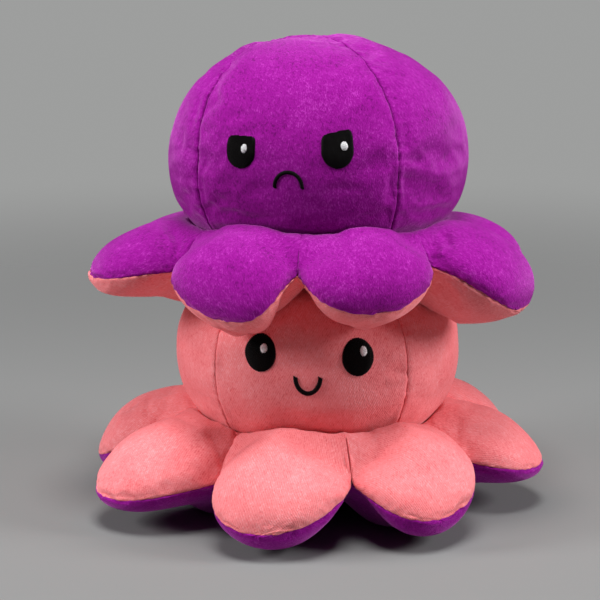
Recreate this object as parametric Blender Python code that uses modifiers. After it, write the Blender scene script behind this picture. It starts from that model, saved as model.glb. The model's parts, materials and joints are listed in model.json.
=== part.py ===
"""Two reversible plush octopuses: a grumpy purple one sitting on a happy pink one.

Each toy is a stuffed head of four gores on a ring of eight stuffed tentacles. The head
opens underneath into a pocket of the other colour, which is the head that shows once the
toy is turned inside out. A tentacle bends up at the crease round its root, and the upper
toy lifts off the lower one.

Metres, Z up, with the origin on the floor under the middle of the lower toy. Each toy is
built in its own frame, with the seam round its tentacles at height 0. An azimuth starts
at the front, which is -Y, and grows towards +X.
"""

import math
from dataclasses import dataclass

import bmesh
import bpy
from mathutils import Vector

MM = 0.001

# Cloth and clearances
FABRIC = 1.5 * MM            # pile fabric with its backing
GAP = 0.3 * MM               # between pieces that touch
SEAM_DIP = 0.8 * MM          # how far a gore is drawn in along its seams
STITCH_EDGE = 1.0 * MM       # half thickness of a tentacle at its stitched edge
EMBROIDERY = 0.8 * MM        # height of the stitched eyes
GLINT_HEIGHT = 0.5 * MM
FLOOR_FLAT = 1.5 * MM        # how much the lower toy is pressed flat where it stands

# Shape of a head and of its pocket
FULLNESS = 2.2               # exponent of the head's outline, 2 for a plain ellipse
SQUARENESS = 2.35            # exponent of its section, 2 for a plain circle
HEAD_CLOSE = 10 * MM         # neck down to where the outline would close
NECK_STUFFING = 3.5 * MM     # between the head's cloth and the pocket, at the neck
MOUTH_RADIUS = 42 * MM       # pocket at the underside
POCKET_HEIGHT = 30 * MM      # pocket above the neck
FRONT_GORE_HALF = math.radians(39.3)  # half the turn that a front or back gore takes

# Ring of tentacles
TENTACLES = 8
CREASE_APOTHEM = 62 * MM     # axis of the toy to the crease at a tentacle's root
VALLEY_RADIUS = 76 * MM      # axis of the toy to the notch between two tentacles
VALLEY_ROUNDING = 4          # how late the cloth between two tentacles turns from a soft fold to a notch
UNDER_DEPTH = 21 * MM        # seam down to the underside
OUTLINE_SWELL = 2.3          # how blunt the end of a tentacle is
TOP_TAPER = 0.75             # how soon the top falls towards the tip
UNDER_TAPER = 0.35           # how soon the underside rises towards the tip
UNDER_RISE_SHARE = 0.6       # part of the skirt's width in which the underside comes down
UNDER_VALLEY_SWELL = 1.6     # how late the underside rises into a valley
BACK_SLUMP = 1.5             # how late a toy's ring sinks towards its back
LIFT_REACH = 3               # how close to a notch the ring is drawn up

# Lower toy
LOWER_HEAD_RADIUS = 63.4 * MM
LOWER_HEAD_RISE = 44 * MM    # widest level up to the crown, pressed down by the upper toy
LOWER_HEAD_DROP = 40.5 * MM  # widest level down to the neck
LOWER_NECK_RISE = 11 * MM    # seam up to the neck
LOWER_MOUTH_DROP = 12 * MM   # seam down to the pocket's mouth
LOWER_CREST = 26 * MM        # seam up to the top of a tentacle at its root
LOWER_REACH = 103 * MM       # axis of the toy to an even tentacle's tip
LOWER_FACING = math.radians(-4)
LOWER_FIRST_ARM = math.radians(-12)
LOWER_VALLEY_SWELL = 4       # how late the cloth falls into a valley between two tentacles
LOWER_REACH_SHARES = (1.02, 0.98, 1.005, 0.98, 1.0, 0.98, 1.02, 1.07)
LOWER_DROOPS = (14, 14, 1.5, 14, 14, 14, 18, 7)
LOWER_SWAYS = (-2.5, -3, 0, 0, 0, 0, 0, -2)
LOWER_NOTCH_LIFT = 6 * MM    # how far the seam is drawn up at an even notch
LOWER_LIFT_SHARES = (1, 1.25, 1, 1, 1, 1, 1, 0.5)

# Upper toy
UPPER_HEAD_RADIUS = 65.8 * MM
UPPER_HEAD_RISE = 54.5 * MM
UPPER_HEAD_DROP = 39 * MM
UPPER_NECK_RISE = 5 * MM
UPPER_MOUTH_DROP = 5 * MM
UPPER_CREST = 20.5 * MM
UPPER_BACK_SINK = 11 * MM    # how much lower its tentacles' roots lie at the back
UPPER_REACH = 100 * MM
UPPER_FACING = math.radians(-10.3)
UPPER_FIRST_ARM = math.radians(-29.5)
UPPER_VALLEY_SWELL = 8
UPPER_REACH_SHARES = (0.95, 0.95, 0.98, 0.94, 0.98, 0.98, 0.94, 1.05)
UPPER_DROOPS = (42, 42, 43, 48, 36, 36, 42, 14)
UPPER_SWAYS = (6, -2, 0, 0, 0, 0, 0, 0)
UPPER_NOTCH_LIFT = 3.5 * MM
UPPER_LIFT_SHARES = (1, 1.35, 1, 1, 1, 1, 1, 0)
UPPER_CROWN_LEFT = 9 * MM    # where its gores meet, left of the axis
UPPER_CROWN_BACK = 15 * MM   # and behind it

# Happy face
HAPPY_EYE_WIDTH = 13.8 * MM
HAPPY_EYE_HEIGHT = 17.7 * MM
HAPPY_EYE_RISE = 7.7 * MM    # widest level of the head up to the middle of an eye
HAPPY_EYE_SPREAD = math.radians(19.3)
HAPPY_GLINT_WIDTH = 3.1 * MM
HAPPY_GLINT_HEIGHT = 4.3 * MM
SMILE_WIDTH = 9.6 * MM
SMILE_HEIGHT = 6.5 * MM
SMILE_DROP = 5.8 * MM
SMILE_LINE = 1.9 * MM

# Grumpy face
GRUMPY_EYE_WIDTH = 13.1 * MM
GRUMPY_EYE_HEIGHT = 14.8 * MM
GRUMPY_EYE_RISE = 10.2 * MM
GRUMPY_EYE_SPREAD = math.radians(17.9)
GRUMPY_GLINT_WIDTH = 2.6 * MM
GRUMPY_GLINT_HEIGHT = 3.8 * MM
GRUMPY_BROW_SLOPE = math.tan(math.radians(7))
FROWN_WIDTH = 10.5 * MM
FROWN_HEIGHT = 5.2 * MM
FROWN_DROP = 2 * MM
FROWN_LINE = 1.5 * MM

# Place of a glint, as shares of the eye's half width and half height
GLINT_ASIDE_SHARE = 0.28
GLINT_UP_SHARE = 0.42

# Facets
TURN_STEPS = 24
PANEL_LEVELS = 9
POCKET_LEVELS = 5
EYE_SEGMENT_COUNT = 16
GLINT_SEGMENT_COUNT = 10
MOUTH_POINT_COUNT = 9
SKIRT_SHARES = (0, 0.25, 0.5, 0.75, 1)
TENTACLE_SHARES = (0, 0.107, 0.35, 0.6, 0.8, 0.93, 0.985)
SECTION_SHARES = (-1, -0.75, -0.4, 0, 0.4, 0.75, 1)
SMOOTH_ANGLE = math.radians(50)

HALF_SECTOR = math.pi / TENTACLES
HALF_STEP = math.pi / TURN_STEPS

PINK = (0.90, 0.27, 0.24)
PURPLE = (0.22, 0.012, 0.36)
BLACK = (0.006, 0.006, 0.008)
WHITE = (0.80, 0.80, 0.82)


def azimuth_of(x, y):
    """The azimuth of a point, from -Y towards +X."""
    return math.atan2(x, -y)


def around(azimuth, radius, height=0.0):
    """A point at an azimuth and a radius."""
    return Vector((radius * math.sin(azimuth), -radius * math.cos(azimuth), height))


def facet_sag(radius):
    """How far a flat facet lies inside the circle that it follows."""
    return radius * (1 - math.cos(HALF_STEP))


@dataclass
class Toy:
    """The sizes of one toy, and the shapes that follow from them."""

    name: str
    head_radius: float
    head_rise: float
    head_drop: float
    neck_rise: float
    mouth_drop: float
    crest: float
    valley_swell: float
    facing: float
    crown: Vector
    first_arm: float
    reach: float
    reach_shares: tuple
    droops: tuple
    sways: tuple
    notch_lift: float
    lift_shares: tuple
    outside: tuple
    inside: tuple
    seat: "Toy" = None
    back_sink: float = 0.0

    @property
    def centre(self):
        """Height of the head's widest level."""
        return self.neck_rise + self.head_drop

    @property
    def belly(self):
        """The head's widest level down to where its outline would close."""
        return self.head_drop + HEAD_CLOSE

    @property
    def inset(self):
        """The head's surface in to its stuffing."""
        return FABRIC + GAP + SEAM_DIP + facet_sag(self.head_radius)

    @property
    def waist(self):
        """The pocket's radius at the neck, with room for some stuffing round it."""
        share = self.head_drop / (self.belly - self.inset)
        stuffing = (self.head_radius - self.inset) * (1 - share ** FULLNESS) ** (1 / FULLNESS)
        return stuffing - NECK_STUFFING - GAP - FABRIC

    @property
    def clearance(self):
        """Room that a faceted neighbour leaves round the head."""
        return GAP + facet_sag(self.head_radius)

    @property
    def base(self):
        """Height of the toy's seam over the floor: on its flattened underside, or on the other's head."""
        if self.seat is None:
            return UNDER_DEPTH - FLOOR_FLAT
        corner = around(self.seat.facing + math.pi / 4, MOUTH_RADIUS)
        return self.seat.base + self.seat.dome_height(corner) + self.mouth_drop

    def gore_radius(self, azimuth, grow=0.0):
        """The head's widest radius towards an azimuth, a little square as four gores make it."""
        turn = azimuth - self.facing
        square = abs(math.cos(turn)) ** SQUARENESS + abs(math.sin(turn)) ** SQUARENESS
        return self.head_radius * square ** (-1 / SQUARENESS) + grow

    def half_height(self, above):
        """Height of the head's upper or lower half."""
        return self.head_rise if above else self.belly

    def cap_height(self, point, above, grow):
        """Distance from the widest level to the surface, grown by a clearance, above or below a point."""
        radius = self.gore_radius(azimuth_of(point.x, point.y), grow)
        share = min(1, math.hypot(point.x, point.y) / radius)
        return (self.half_height(above) + grow) * (1 - share ** FULLNESS) ** (1 / FULLNESS)

    def dome_height(self, point):
        """The lowest place for something that rests on the head."""
        return self.centre + self.cap_height(point, True, self.clearance)

    def belly_height(self, point):
        """The highest place for something under the head."""
        belly = self.centre - self.cap_height(point, False, self.clearance)
        return max(self.neck_rise - GAP, belly)

    def crest_at(self, azimuth):
        """Height of a tentacle's root over the seam, lower towards the toy's back."""
        return self.crest - self.back_sink * ((1 - math.cos(azimuth)) / 2) ** BACK_SLUMP

    def lift_at(self, arm, aside, outward, past):
        """How far the ring is drawn up towards the notch on one side of a tentacle."""
        share = self.lift_shares[arm] if aside > 0 else self.lift_shares[arm - 1]
        return self.notch_lift * share * outward ** LIFT_REACH * abs(aside) ** LIFT_REACH * (1 - past)

    def knee_radius(self, azimuth):
        """The radius at which the head's belly, with its clearance, comes down to the neck."""
        share = (self.head_drop + GAP) / (self.belly + self.clearance)
        return self.gore_radius(azimuth, self.clearance) * (1 - share ** FULLNESS) ** (1 / FULLNESS)

    def floor_height(self, point):
        """The lowest place that the toy's underside can take."""
        if self.seat is None:
            return -self.base
        return self.seat.base + self.seat.dome_height(point) - self.base

    def throat_radius(self, height):
        """The pocket's radius between the neck and the mouth."""
        share = (self.neck_rise - height) / (self.neck_rise + self.mouth_drop)
        return self.waist + (MOUTH_RADIUS - self.waist) * share

    def skirt_inner(self, height):
        """The radius at which the ring of tentacles starts, clear of the pocket's faceted lining."""
        return (self.throat_radius(height) + FABRIC + GAP) / math.cos(HALF_STEP)

    def on_head(self, azimuth, level):
        """A point of the head about its centre: the level runs from 0 at the widest to a quarter turn."""
        spread = max(0, math.cos(level)) ** (2 / FULLNESS)
        lift = math.copysign(abs(math.sin(level)) ** (2 / FULLNESS), level)
        half = self.half_height(level > 0)
        point = around(azimuth, self.gore_radius(azimuth) * spread, half * lift)
        if level > 0:
            point += self.crown * math.sin(level) ** 2
            flat = math.hypot(point.x, point.y) / self.gore_radius(azimuth_of(point.x, point.y))
            point *= (flat ** FULLNESS + (point.z / half) ** FULLNESS) ** (-1 / FULLNESS)
        return point

    def normal_at(self, point):
        """The outward direction of the head's surface at a point about its centre."""
        flat = Vector((point.x, point.y, 0))
        radius = self.gore_radius(azimuth_of(point.x, point.y))
        half = self.half_height(point.z > 0)
        out = flat.length ** (FULLNESS - 1) / radius ** FULLNESS
        up = math.copysign(abs(point.z) ** (FULLNESS - 1) / half ** FULLNESS, point.z)
        return (flat.normalized() * out + Vector((0, 0, up))).normalized()

    def face_point(self, aside, up, lift):
        """A point on the face, from a distance round the head, one up from its widest level and a lift."""
        azimuth = self.facing + aside / self.head_radius
        share = abs(up) / self.half_height(up > 0)
        radius = self.gore_radius(azimuth) * (1 - share ** FULLNESS) ** (1 / FULLNESS)
        point = around(azimuth, radius, up)
        return point + self.normal_at(point) * lift


def painted(name, colour, roughness):
    """A material of one colour."""
    material = bpy.data.materials.new(name)
    material.use_nodes = True
    shader = material.node_tree.nodes["Principled BSDF"]
    shader.inputs["Base Color"].default_value = (*colour, 1)
    shader.inputs["Roughness"].default_value = roughness
    shader.inputs["Metallic"].default_value = 0
    return material


def add_object(name, data, colour, parent, roughness=0.9):
    """An object with its own material, carried by an empty."""
    item = bpy.data.objects.new(name, data)
    data.materials.append(painted(name, colour, roughness))
    pieces.objects.link(item)
    item.parent = parent
    return item


def add_mesh(name, shape, colour, parent, roughness=0.9):
    """An object from a bmesh, shaded smooth but for its edges."""
    mesh = bpy.data.meshes.new(name)
    shape.to_mesh(mesh)
    shape.free()
    mesh.shade_smooth()
    mesh.set_sharp_from_angle(angle=SMOOTH_ANGLE)
    return add_object(name, mesh, colour, parent, roughness)


def add_empty(name, location, turn, parent):
    """A frame that carries pieces."""
    empty = bpy.data.objects.new(name, None)
    pieces.objects.link(empty)
    empty.parent = parent
    empty.location = location
    empty.rotation_euler.z = turn
    return empty


def thicken(item, thickness, side):
    """Give an open surface its thickness: side 1 outward, -1 inward."""
    solid = item.modifiers.new("thickness", "SOLIDIFY")
    solid.thickness = thickness
    solid.offset = side
    solid.use_even_offset = True
    solid.use_rim = True


def turned(name, outline, colour, toy, parent):
    """A turned piece: its outline runs down the outside and back up the inside."""
    mesh = bpy.data.meshes.new(name)
    edges = [(index, index + 1) for index in range(len(outline) - 1)]
    mesh.from_pydata([(radius, 0, height) for radius, height in outline], edges, [])
    item = add_object(name, mesh, colour, parent)
    item.rotation_euler.z = toy.facing
    screw = item.modifiers.new("turn", "SCREW")
    screw.axis = "Z"
    screw.steps = TURN_STEPS
    screw.render_steps = TURN_STEPS
    screw.use_merge_vertices = True
    screw.merge_threshold = GAP / 100
    screw.use_smooth_shade = True
    return item


def loft(rings, closed):
    """Faces between rings of points, joined end to end, or closed by flat ends."""
    shape = bmesh.new()
    loops = [[shape.verts.new(point) for point in ring] for ring in rings]
    pairs = list(zip(loops, loops[1:]))
    if closed:
        pairs.append((loops[-1], loops[0]))
    else:
        shape.faces.new(loops[0])
        shape.faces.new(loops[-1])
    for first, second in pairs:
        for index in range(len(first)):
            after = (index + 1) % len(first)
            shape.faces.new((first[index], first[after], second[after], second[index]))
    bmesh.ops.recalc_face_normals(shape, faces=shape.faces)
    return shape


def head_panel(toy, side, middle, half, parent):
    """One gore of the head, a triangle of cloth from the neck to the crown, drawn in along its seams."""
    shape = bmesh.new()
    columns = math.ceil(half / HALF_STEP)
    bmesh.ops.create_grid(shape, x_segments=columns, y_segments=PANEL_LEVELS, size=1)
    neck = -math.asin((toy.head_drop / toy.belly) ** (FULLNESS / 2))
    seam_ease = GAP / 2 + FABRIC * math.sin(HALF_STEP)
    crown = []
    for vert in shape.verts:
        across, up = vert.co.x, (vert.co.y + 1) / 2
        azimuth = middle + across * half
        level = neck + (math.pi / 2 - neck) * up
        point = toy.on_head(azimuth, level)
        if up > 1 - 1 / (2 * PANEL_LEVELS):
            crown.append(vert)
            vert.co = point + around(middle, 2 * seam_ease) - toy.normal_at(point) * SEAM_DIP
        elif abs(across) > 1 - 1 / columns:
            aside = toy.on_head(azimuth + HALF_STEP, level) - toy.on_head(azimuth - HALF_STEP, level)
            point -= aside.normalized() * math.copysign(seam_ease, across)
            vert.co = point - toy.normal_at(point) * SEAM_DIP
        else:
            vert.co = point
    bmesh.ops.pointmerge(shape, verts=crown, merge_co=crown[0].co)
    bmesh.ops.recalc_face_normals(shape, faces=shape.faces)
    item = add_mesh(f"{toy.name}_head_panel_{side}", shape, toy.outside, parent)
    item.location.z = toy.centre
    thicken(item, FABRIC, -1)


def pocket_outline(toy, grow, bottom):
    """Half the pocket's outline, grown outward, from its top to the neck and on to a lower end."""
    points = []
    for index in range(POCKET_LEVELS + 1):
        level = math.pi / 2 * (1 - index / POCKET_LEVELS)
        radius = (toy.waist + grow) * max(0, math.cos(level)) ** (2 / FULLNESS)
        height = (POCKET_HEIGHT + grow) * math.sin(level) ** (2 / FULLNESS)
        points.append((radius if index else 0, toy.neck_rise + height))
    if bottom < toy.neck_rise:
        points.append((toy.throat_radius(bottom) + grow, bottom))
    return points


def head_filling(toy, parent):
    """The stuffing between the gores and the pocket."""
    belly = toy.belly - toy.inset
    neck = -math.asin((toy.head_drop / belly) ** (FULLNESS / 2))
    outline = []
    for index in range(PANEL_LEVELS + 1):
        level = math.pi / 2 + (neck - math.pi / 2) * index / PANEL_LEVELS
        half = toy.head_rise - toy.inset if level > 0 else belly
        radius = (toy.head_radius - toy.inset) * max(0, math.cos(level)) ** (2 / FULLNESS)
        lift = math.copysign(abs(math.sin(level)) ** (2 / FULLNESS), level)
        outline.append((radius if index else 0, toy.centre + half * lift))
    outline += reversed(pocket_outline(toy, FABRIC + GAP, toy.neck_rise))
    turned(f"{toy.name}_head_filling", outline, WHITE, toy, parent)


def pocket_lining(toy, parent):
    """The cloth of the pocket: the other head, turned in."""
    outline = pocket_outline(toy, FABRIC, -toy.mouth_drop)
    outline += reversed(pocket_outline(toy, 0, -toy.mouth_drop))
    turned(f"{toy.name}_pocket_lining", outline, toy.inside, toy, parent)


def valley_share(apothem, inner):
    """How far a place lies on the way from the neck to the notch, from 0 to 1."""
    valley = VALLEY_RADIUS * math.cos(HALF_SECTOR)
    return min(1, max(0, (apothem - inner) / (valley - inner)))


def valley_edge(toy, top, middle, share):
    """Height of the cloth at a tentacle's side, which falls from the neck to the notch."""
    late = toy.valley_swell if top else UNDER_VALLEY_SWELL
    return STITCH_EDGE + (middle - STITCH_EDGE) * (1 - share ** late)


def skirt_height(toy, top, azimuth, share):
    """Height of a tentacle's middle line over the seam, within the skirt."""
    if top:
        return toy.neck_rise + (toy.crest_at(azimuth) - toy.neck_rise) * math.sin(math.pi / 2 * share)
    down = min(1, share / UNDER_RISE_SHARE)
    return toy.mouth_drop + (UNDER_DEPTH - toy.mouth_drop) * math.sin(math.pi / 2 * down)


def swell(middle, edge, aside, share):
    """Height at a share of the half width: a soft fold at the neck, a round side from the notch on."""
    rounding = share ** VALLEY_ROUNDING
    side = math.sqrt(max(0, 1 - aside * aside))
    fold = math.cos(math.pi / 2 * aside)
    return edge + (middle - edge) * (rounding * side + (1 - rounding) * fold)


def skirt(toy, top, parent):
    """The ring that the tentacles grow from, above or below its seam, as a loft round the toy."""
    sign = 1 if top else -1
    end = CREASE_APOTHEM - GAP / 2
    rim = toy.neck_rise if top else -toy.mouth_drop
    rings = []
    steps_per_arm = TURN_STEPS // TENTACLES
    for step in range(TURN_STEPS):
        arm, past_valley = divmod(step, steps_per_arm)
        aside = past_valley * 2 * HALF_STEP - HALF_SECTOR
        azimuth = toy.first_arm + arm * 2 * HALF_SECTOR + aside
        inner = toy.skirt_inner(rim) * math.cos(aside)
        start = toy.knee_radius(azimuth) * math.cos(aside) if top else inner
        width_share = math.tan(aside) / math.tan(HALF_SECTOR)
        ring = [around(azimuth, toy.skirt_inner(0), sign * GAP / 2)]
        if top:
            ring.append(around(azimuth, toy.skirt_inner(rim), toy.neck_rise - GAP))
        for share in SKIRT_SHARES:
            apothem = start + (end - start) * share
            middle = skirt_height(toy, top, azimuth, (apothem - inner) / (end - inner))
            outward = valley_share(apothem, inner)
            height = sign * swell(middle, valley_edge(toy, top, middle, outward), width_share, outward)
            height += toy.lift_at(arm, width_share, outward, 0)
            point = around(azimuth, apothem / math.cos(aside))
            limit = min(height, toy.belly_height(point)) if top else max(height, toy.floor_height(point))
            ring.append(point + Vector((0, 0, limit)))
        lift = toy.lift_at(arm, width_share, valley_share(end, inner), 0)
        ring.append(around(azimuth, end / math.cos(aside), lift + sign * GAP / 2))
        rings.append(ring)
    name = f"{toy.name}_skirt_{'top' if top else 'under'}"
    add_mesh(name, loft(rings, True), toy.outside if top else toy.inside, parent)


def tentacle(toy, arm, top, parent):
    """Half a tentacle, above or below its seam, as a loft of D sections along its drooping line."""
    sign = 1 if top else -1
    azimuth = toy.first_arm + arm * 2 * HALF_SECTOR
    droop = math.radians(toy.droops[arm])
    reach = toy.reach * toy.reach_shares[arm]
    length = (reach - CREASE_APOTHEM) * droop / math.sin(droop)
    sway = reach * math.sin(math.radians(toy.sways[arm]))
    inner = toy.skirt_inner(toy.neck_rise if top else -toy.mouth_drop)
    valley = VALLEY_RADIUS * math.cos(HALF_SECTOR)
    valley_width = valley * math.tan(HALF_SECTOR) - GAP / 2
    crest = toy.crest_at(azimuth)
    root = crest if top else UNDER_DEPTH
    rings = []
    for share in TENTACLE_SHARES:
        apothem = CREASE_APOTHEM + length * share
        past = max(0, (apothem - valley) / (CREASE_APOTHEM + length - valley))
        width = valley_width * (1 - past ** OUTLINE_SWELL) ** 0.5
        width = min(width, apothem * math.tan(HALF_SECTOR) - GAP / 2)
        middle = root * (1 - share * share) ** (TOP_TAPER if top else UNDER_TAPER)
        outward = valley_share(apothem, inner)
        edge = min(middle, valley_edge(toy, top, middle, outward))
        bend = droop * share
        spine = Vector((length / droop * math.sin(bend) + GAP / 2, sway * past ** 2,
                        -length / droop * (1 - math.cos(bend)) - crest))
        normal = Vector((math.sin(bend), 0, math.cos(bend)))
        ring = []
        for aside in reversed(SECTION_SHARES):
            height = max(swell(middle, edge, aside, outward), STITCH_EDGE)
            across = Vector((0, width * aside, toy.lift_at(arm, aside, outward, past)))
            if aside == 1:
                ring.append(spine + across + normal * sign * GAP / 2)
            ring.append(spine + across + normal * sign * height)
        ring.append(spine + across + normal * sign * GAP / 2)
        rings.append([kept_clear(toy, point, azimuth, top) for point in ring])
    name = f"{toy.name}_tentacle_{arm + 1}_{'top' if top else 'under'}"
    add_mesh(name, loft(rings, False), toy.outside if top else toy.inside, parent)


def kept_clear(toy, point, azimuth, top):
    """A tentacle's point, under the head and over what the toy sits on."""
    place = around(azimuth, CREASE_APOTHEM + point.x) + around(azimuth + math.pi / 2, point.y)
    if top:
        height = min(point.z, toy.belly_height(place) - GAP - toy.crest_at(azimuth))
    else:
        height = max(point.z, toy.floor_height(place) + GAP - toy.crest_at(azimuth))
    return Vector((point.x, point.y, height))


def oval(angle, width, height, top_square, slope):
    """A point of an eye's outline: round below, and as square above as the exponent says."""
    power = top_square if math.sin(angle) > 0 else 2
    aside = math.copysign(abs(math.cos(angle)) ** (2 / power), math.cos(angle)) * width / 2
    up = math.copysign(abs(math.sin(angle)) ** (2 / power), math.sin(angle)) * height / 2
    return aside, up + max(0, up) / (height / 2) * aside * slope


def patch(toy, name, middle, size, points, lift, thickness, colour, parent, square=2, slope=0):
    """A stitched patch that follows the head, from a disc whose edge takes the oval's outline."""
    shape = bmesh.new()
    bmesh.ops.create_circle(shape, cap_ends=True, cap_tris=True, segments=points, radius=1)
    for vert in shape.verts:
        aside, up = 0, 0
        if vert.co.length > 1 / 2:
            aside, up = oval(math.atan2(vert.co.y, vert.co.x), *size, square, slope)
        vert.co = toy.face_point(middle[0] + aside, middle[1] + up, lift)
    bmesh.ops.recalc_face_normals(shape, faces=shape.faces)
    if sum((face.normal.dot(face.calc_center_median()) for face in shape.faces)) < 0:
        bmesh.ops.reverse_faces(shape, faces=shape.faces)
    item = add_mesh(name, shape, colour, parent, 0.5)
    item.location.z = toy.centre
    thicken(item, thickness, 1)


def eyes(toy, spread, rise, size, glint_size, parent, square=2, slope=0):
    """Both eyes, each with its glint."""
    for side, sign in (("left", -1), ("right", 1)):
        middle = (sign * spread * toy.head_radius, rise)
        name = f"{toy.name}_eye_{side}"
        patch(toy, name, middle, size, EYE_SEGMENT_COUNT, GAP, EMBROIDERY, BLACK, parent, square,
              sign * slope)
        glint = (middle[0] + GLINT_ASIDE_SHARE * size[0] / 2, middle[1] + GLINT_UP_SHARE * size[1] / 2)
        lift = GAP + EMBROIDERY + GAP
        patch(toy, f"{name}_glint", glint, glint_size, GLINT_SEGMENT_COUNT, lift, GLINT_HEIGHT, WHITE,
              parent)


def mouth(toy, width, height, drop, line, smiling, parent):
    """The stitched mouth, a round line along half an oval."""
    curve = bpy.data.curves.new(f"{toy.name}_mouth", "CURVE")
    curve.dimensions = "3D"
    curve.bevel_depth = line / 2
    curve.bevel_resolution = 2
    curve.render_resolution_u = 0
    curve.use_fill_caps = True
    spline = curve.splines.new("POLY")
    spline.points.add(MOUTH_POINT_COUNT - 1)
    bend = -1 if smiling else 1
    for index, point in enumerate(spline.points):
        angle = math.pi * index / (MOUTH_POINT_COUNT - 1)
        up = -drop + bend * (math.sin(angle) - 1 / 2) * height
        place = toy.face_point(-math.cos(angle) * width / 2, up, GAP + line / 2)
        point.co = (*place, 1)
    item = add_object(f"{toy.name}_mouth", curve, BLACK, parent, 0.5)
    item.location.z = toy.centre


def build_toy(toy, parent, height):
    """One toy: its head, pocket, skirt and tentacles."""
    body = add_empty(toy.name, (0, 0, height), 0, parent)
    side_gore_half = math.pi / 2 - FRONT_GORE_HALF
    for index, side in enumerate(("front", "right", "back", "left")):
        half = side_gore_half if index % 2 else FRONT_GORE_HALF
        head_panel(toy, side, toy.facing + index * math.pi / 2, half, body)
    head_filling(toy, body)
    pocket_lining(toy, body)
    for top in (True, False):
        skirt(toy, top, body)
    for arm in range(TENTACLES):
        azimuth = toy.first_arm + arm * 2 * HALF_SECTOR
        place = around(azimuth, CREASE_APOTHEM, toy.crest_at(azimuth))
        hinge = add_empty(f"{toy.name}_tentacle_{arm + 1}_crease", place, azimuth - math.pi / 2, body)
        for top in (True, False):
            tentacle(toy, arm, top, hinge)
    return body


for leftover in list(bpy.data.objects):
    bpy.data.objects.remove(leftover)
pieces = bpy.data.collections.new("plush_octopus_pair")
bpy.context.scene.collection.children.link(pieces)

lower = Toy(
    name="lower", head_radius=LOWER_HEAD_RADIUS, head_rise=LOWER_HEAD_RISE, head_drop=LOWER_HEAD_DROP,
    neck_rise=LOWER_NECK_RISE, mouth_drop=LOWER_MOUTH_DROP, crest=LOWER_CREST,
    valley_swell=LOWER_VALLEY_SWELL, facing=LOWER_FACING,
    crown=Vector((0, 0, 0)), first_arm=LOWER_FIRST_ARM, reach=LOWER_REACH,
    reach_shares=LOWER_REACH_SHARES, droops=LOWER_DROOPS, sways=LOWER_SWAYS,
    notch_lift=LOWER_NOTCH_LIFT, lift_shares=LOWER_LIFT_SHARES, outside=PINK, inside=PURPLE)
upper = Toy(
    name="upper", head_radius=UPPER_HEAD_RADIUS, head_rise=UPPER_HEAD_RISE, head_drop=UPPER_HEAD_DROP,
    neck_rise=UPPER_NECK_RISE, mouth_drop=UPPER_MOUTH_DROP, crest=UPPER_CREST,
    valley_swell=UPPER_VALLEY_SWELL, facing=UPPER_FACING,
    crown=Vector((-UPPER_CROWN_LEFT, UPPER_CROWN_BACK, 0)), first_arm=UPPER_FIRST_ARM, reach=UPPER_REACH,
    reach_shares=UPPER_REACH_SHARES, droops=UPPER_DROOPS, sways=UPPER_SWAYS,
    notch_lift=UPPER_NOTCH_LIFT, lift_shares=UPPER_LIFT_SHARES, outside=PURPLE, inside=PINK,
    seat=lower, back_sink=UPPER_BACK_SINK)

lower_body = build_toy(lower, None, lower.base)
eyes(lower, HAPPY_EYE_SPREAD, HAPPY_EYE_RISE, (HAPPY_EYE_WIDTH, HAPPY_EYE_HEIGHT),
     (HAPPY_GLINT_WIDTH, HAPPY_GLINT_HEIGHT), lower_body)
mouth(lower, SMILE_WIDTH, SMILE_HEIGHT, SMILE_DROP, SMILE_LINE, True, lower_body)

upper_body = build_toy(upper, lower_body, upper.base - lower.base)
eyes(upper, GRUMPY_EYE_SPREAD, GRUMPY_EYE_RISE, (GRUMPY_EYE_WIDTH, GRUMPY_EYE_HEIGHT),
     (GRUMPY_GLINT_WIDTH, GRUMPY_GLINT_HEIGHT), upper_body, square=5, slope=GRUMPY_BROW_SLOPE)
mouth(upper, FROWN_WIDTH, FROWN_HEIGHT, FROWN_DROP, FROWN_LINE, False, upper_body)
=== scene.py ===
"""Dresses the packed frame of a stacked pair of reversible plush octopuses.

Every cloth piece is lofted on the frame's own shapes at a finer pitch, stuffed by a cloth
simulation, and cut into the gores and tentacle halves that the toy is sewn from.
"""

import json
import math

import bmesh
import bpy
import numpy as np
from bpy.props import EnumProperty, FloatProperty, FloatVectorProperty, PointerProperty
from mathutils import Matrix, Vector, noise
from mathutils.bvhtree import BVHTree

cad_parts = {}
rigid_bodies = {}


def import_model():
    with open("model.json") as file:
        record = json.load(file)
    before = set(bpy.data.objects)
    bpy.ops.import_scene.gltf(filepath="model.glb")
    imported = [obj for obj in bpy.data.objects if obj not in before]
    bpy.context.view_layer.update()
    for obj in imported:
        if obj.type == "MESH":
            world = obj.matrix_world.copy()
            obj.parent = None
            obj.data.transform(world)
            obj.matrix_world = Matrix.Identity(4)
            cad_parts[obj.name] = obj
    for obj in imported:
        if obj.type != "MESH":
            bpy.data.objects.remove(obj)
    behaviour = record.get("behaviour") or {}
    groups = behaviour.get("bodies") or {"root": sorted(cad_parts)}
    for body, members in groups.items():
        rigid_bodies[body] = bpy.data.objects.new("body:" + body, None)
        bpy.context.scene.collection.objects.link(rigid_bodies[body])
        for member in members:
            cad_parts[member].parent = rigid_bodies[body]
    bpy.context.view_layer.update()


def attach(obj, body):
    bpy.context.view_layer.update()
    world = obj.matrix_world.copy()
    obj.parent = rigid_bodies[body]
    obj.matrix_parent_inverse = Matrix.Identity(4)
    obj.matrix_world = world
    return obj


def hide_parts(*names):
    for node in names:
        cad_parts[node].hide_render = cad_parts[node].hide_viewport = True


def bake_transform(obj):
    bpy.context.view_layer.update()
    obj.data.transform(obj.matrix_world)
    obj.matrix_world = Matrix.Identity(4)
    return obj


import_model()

bl_info = {
    "name": "Plush octopus pair",
    "version": (1, 0, 0),
    "blender": (4, 5, 0),
    "location": "3D View > Sidebar > Plush",
    "description": "Sews two reversible plush octopuses onto their frame",
    "category": "Add Mesh",
}

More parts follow.
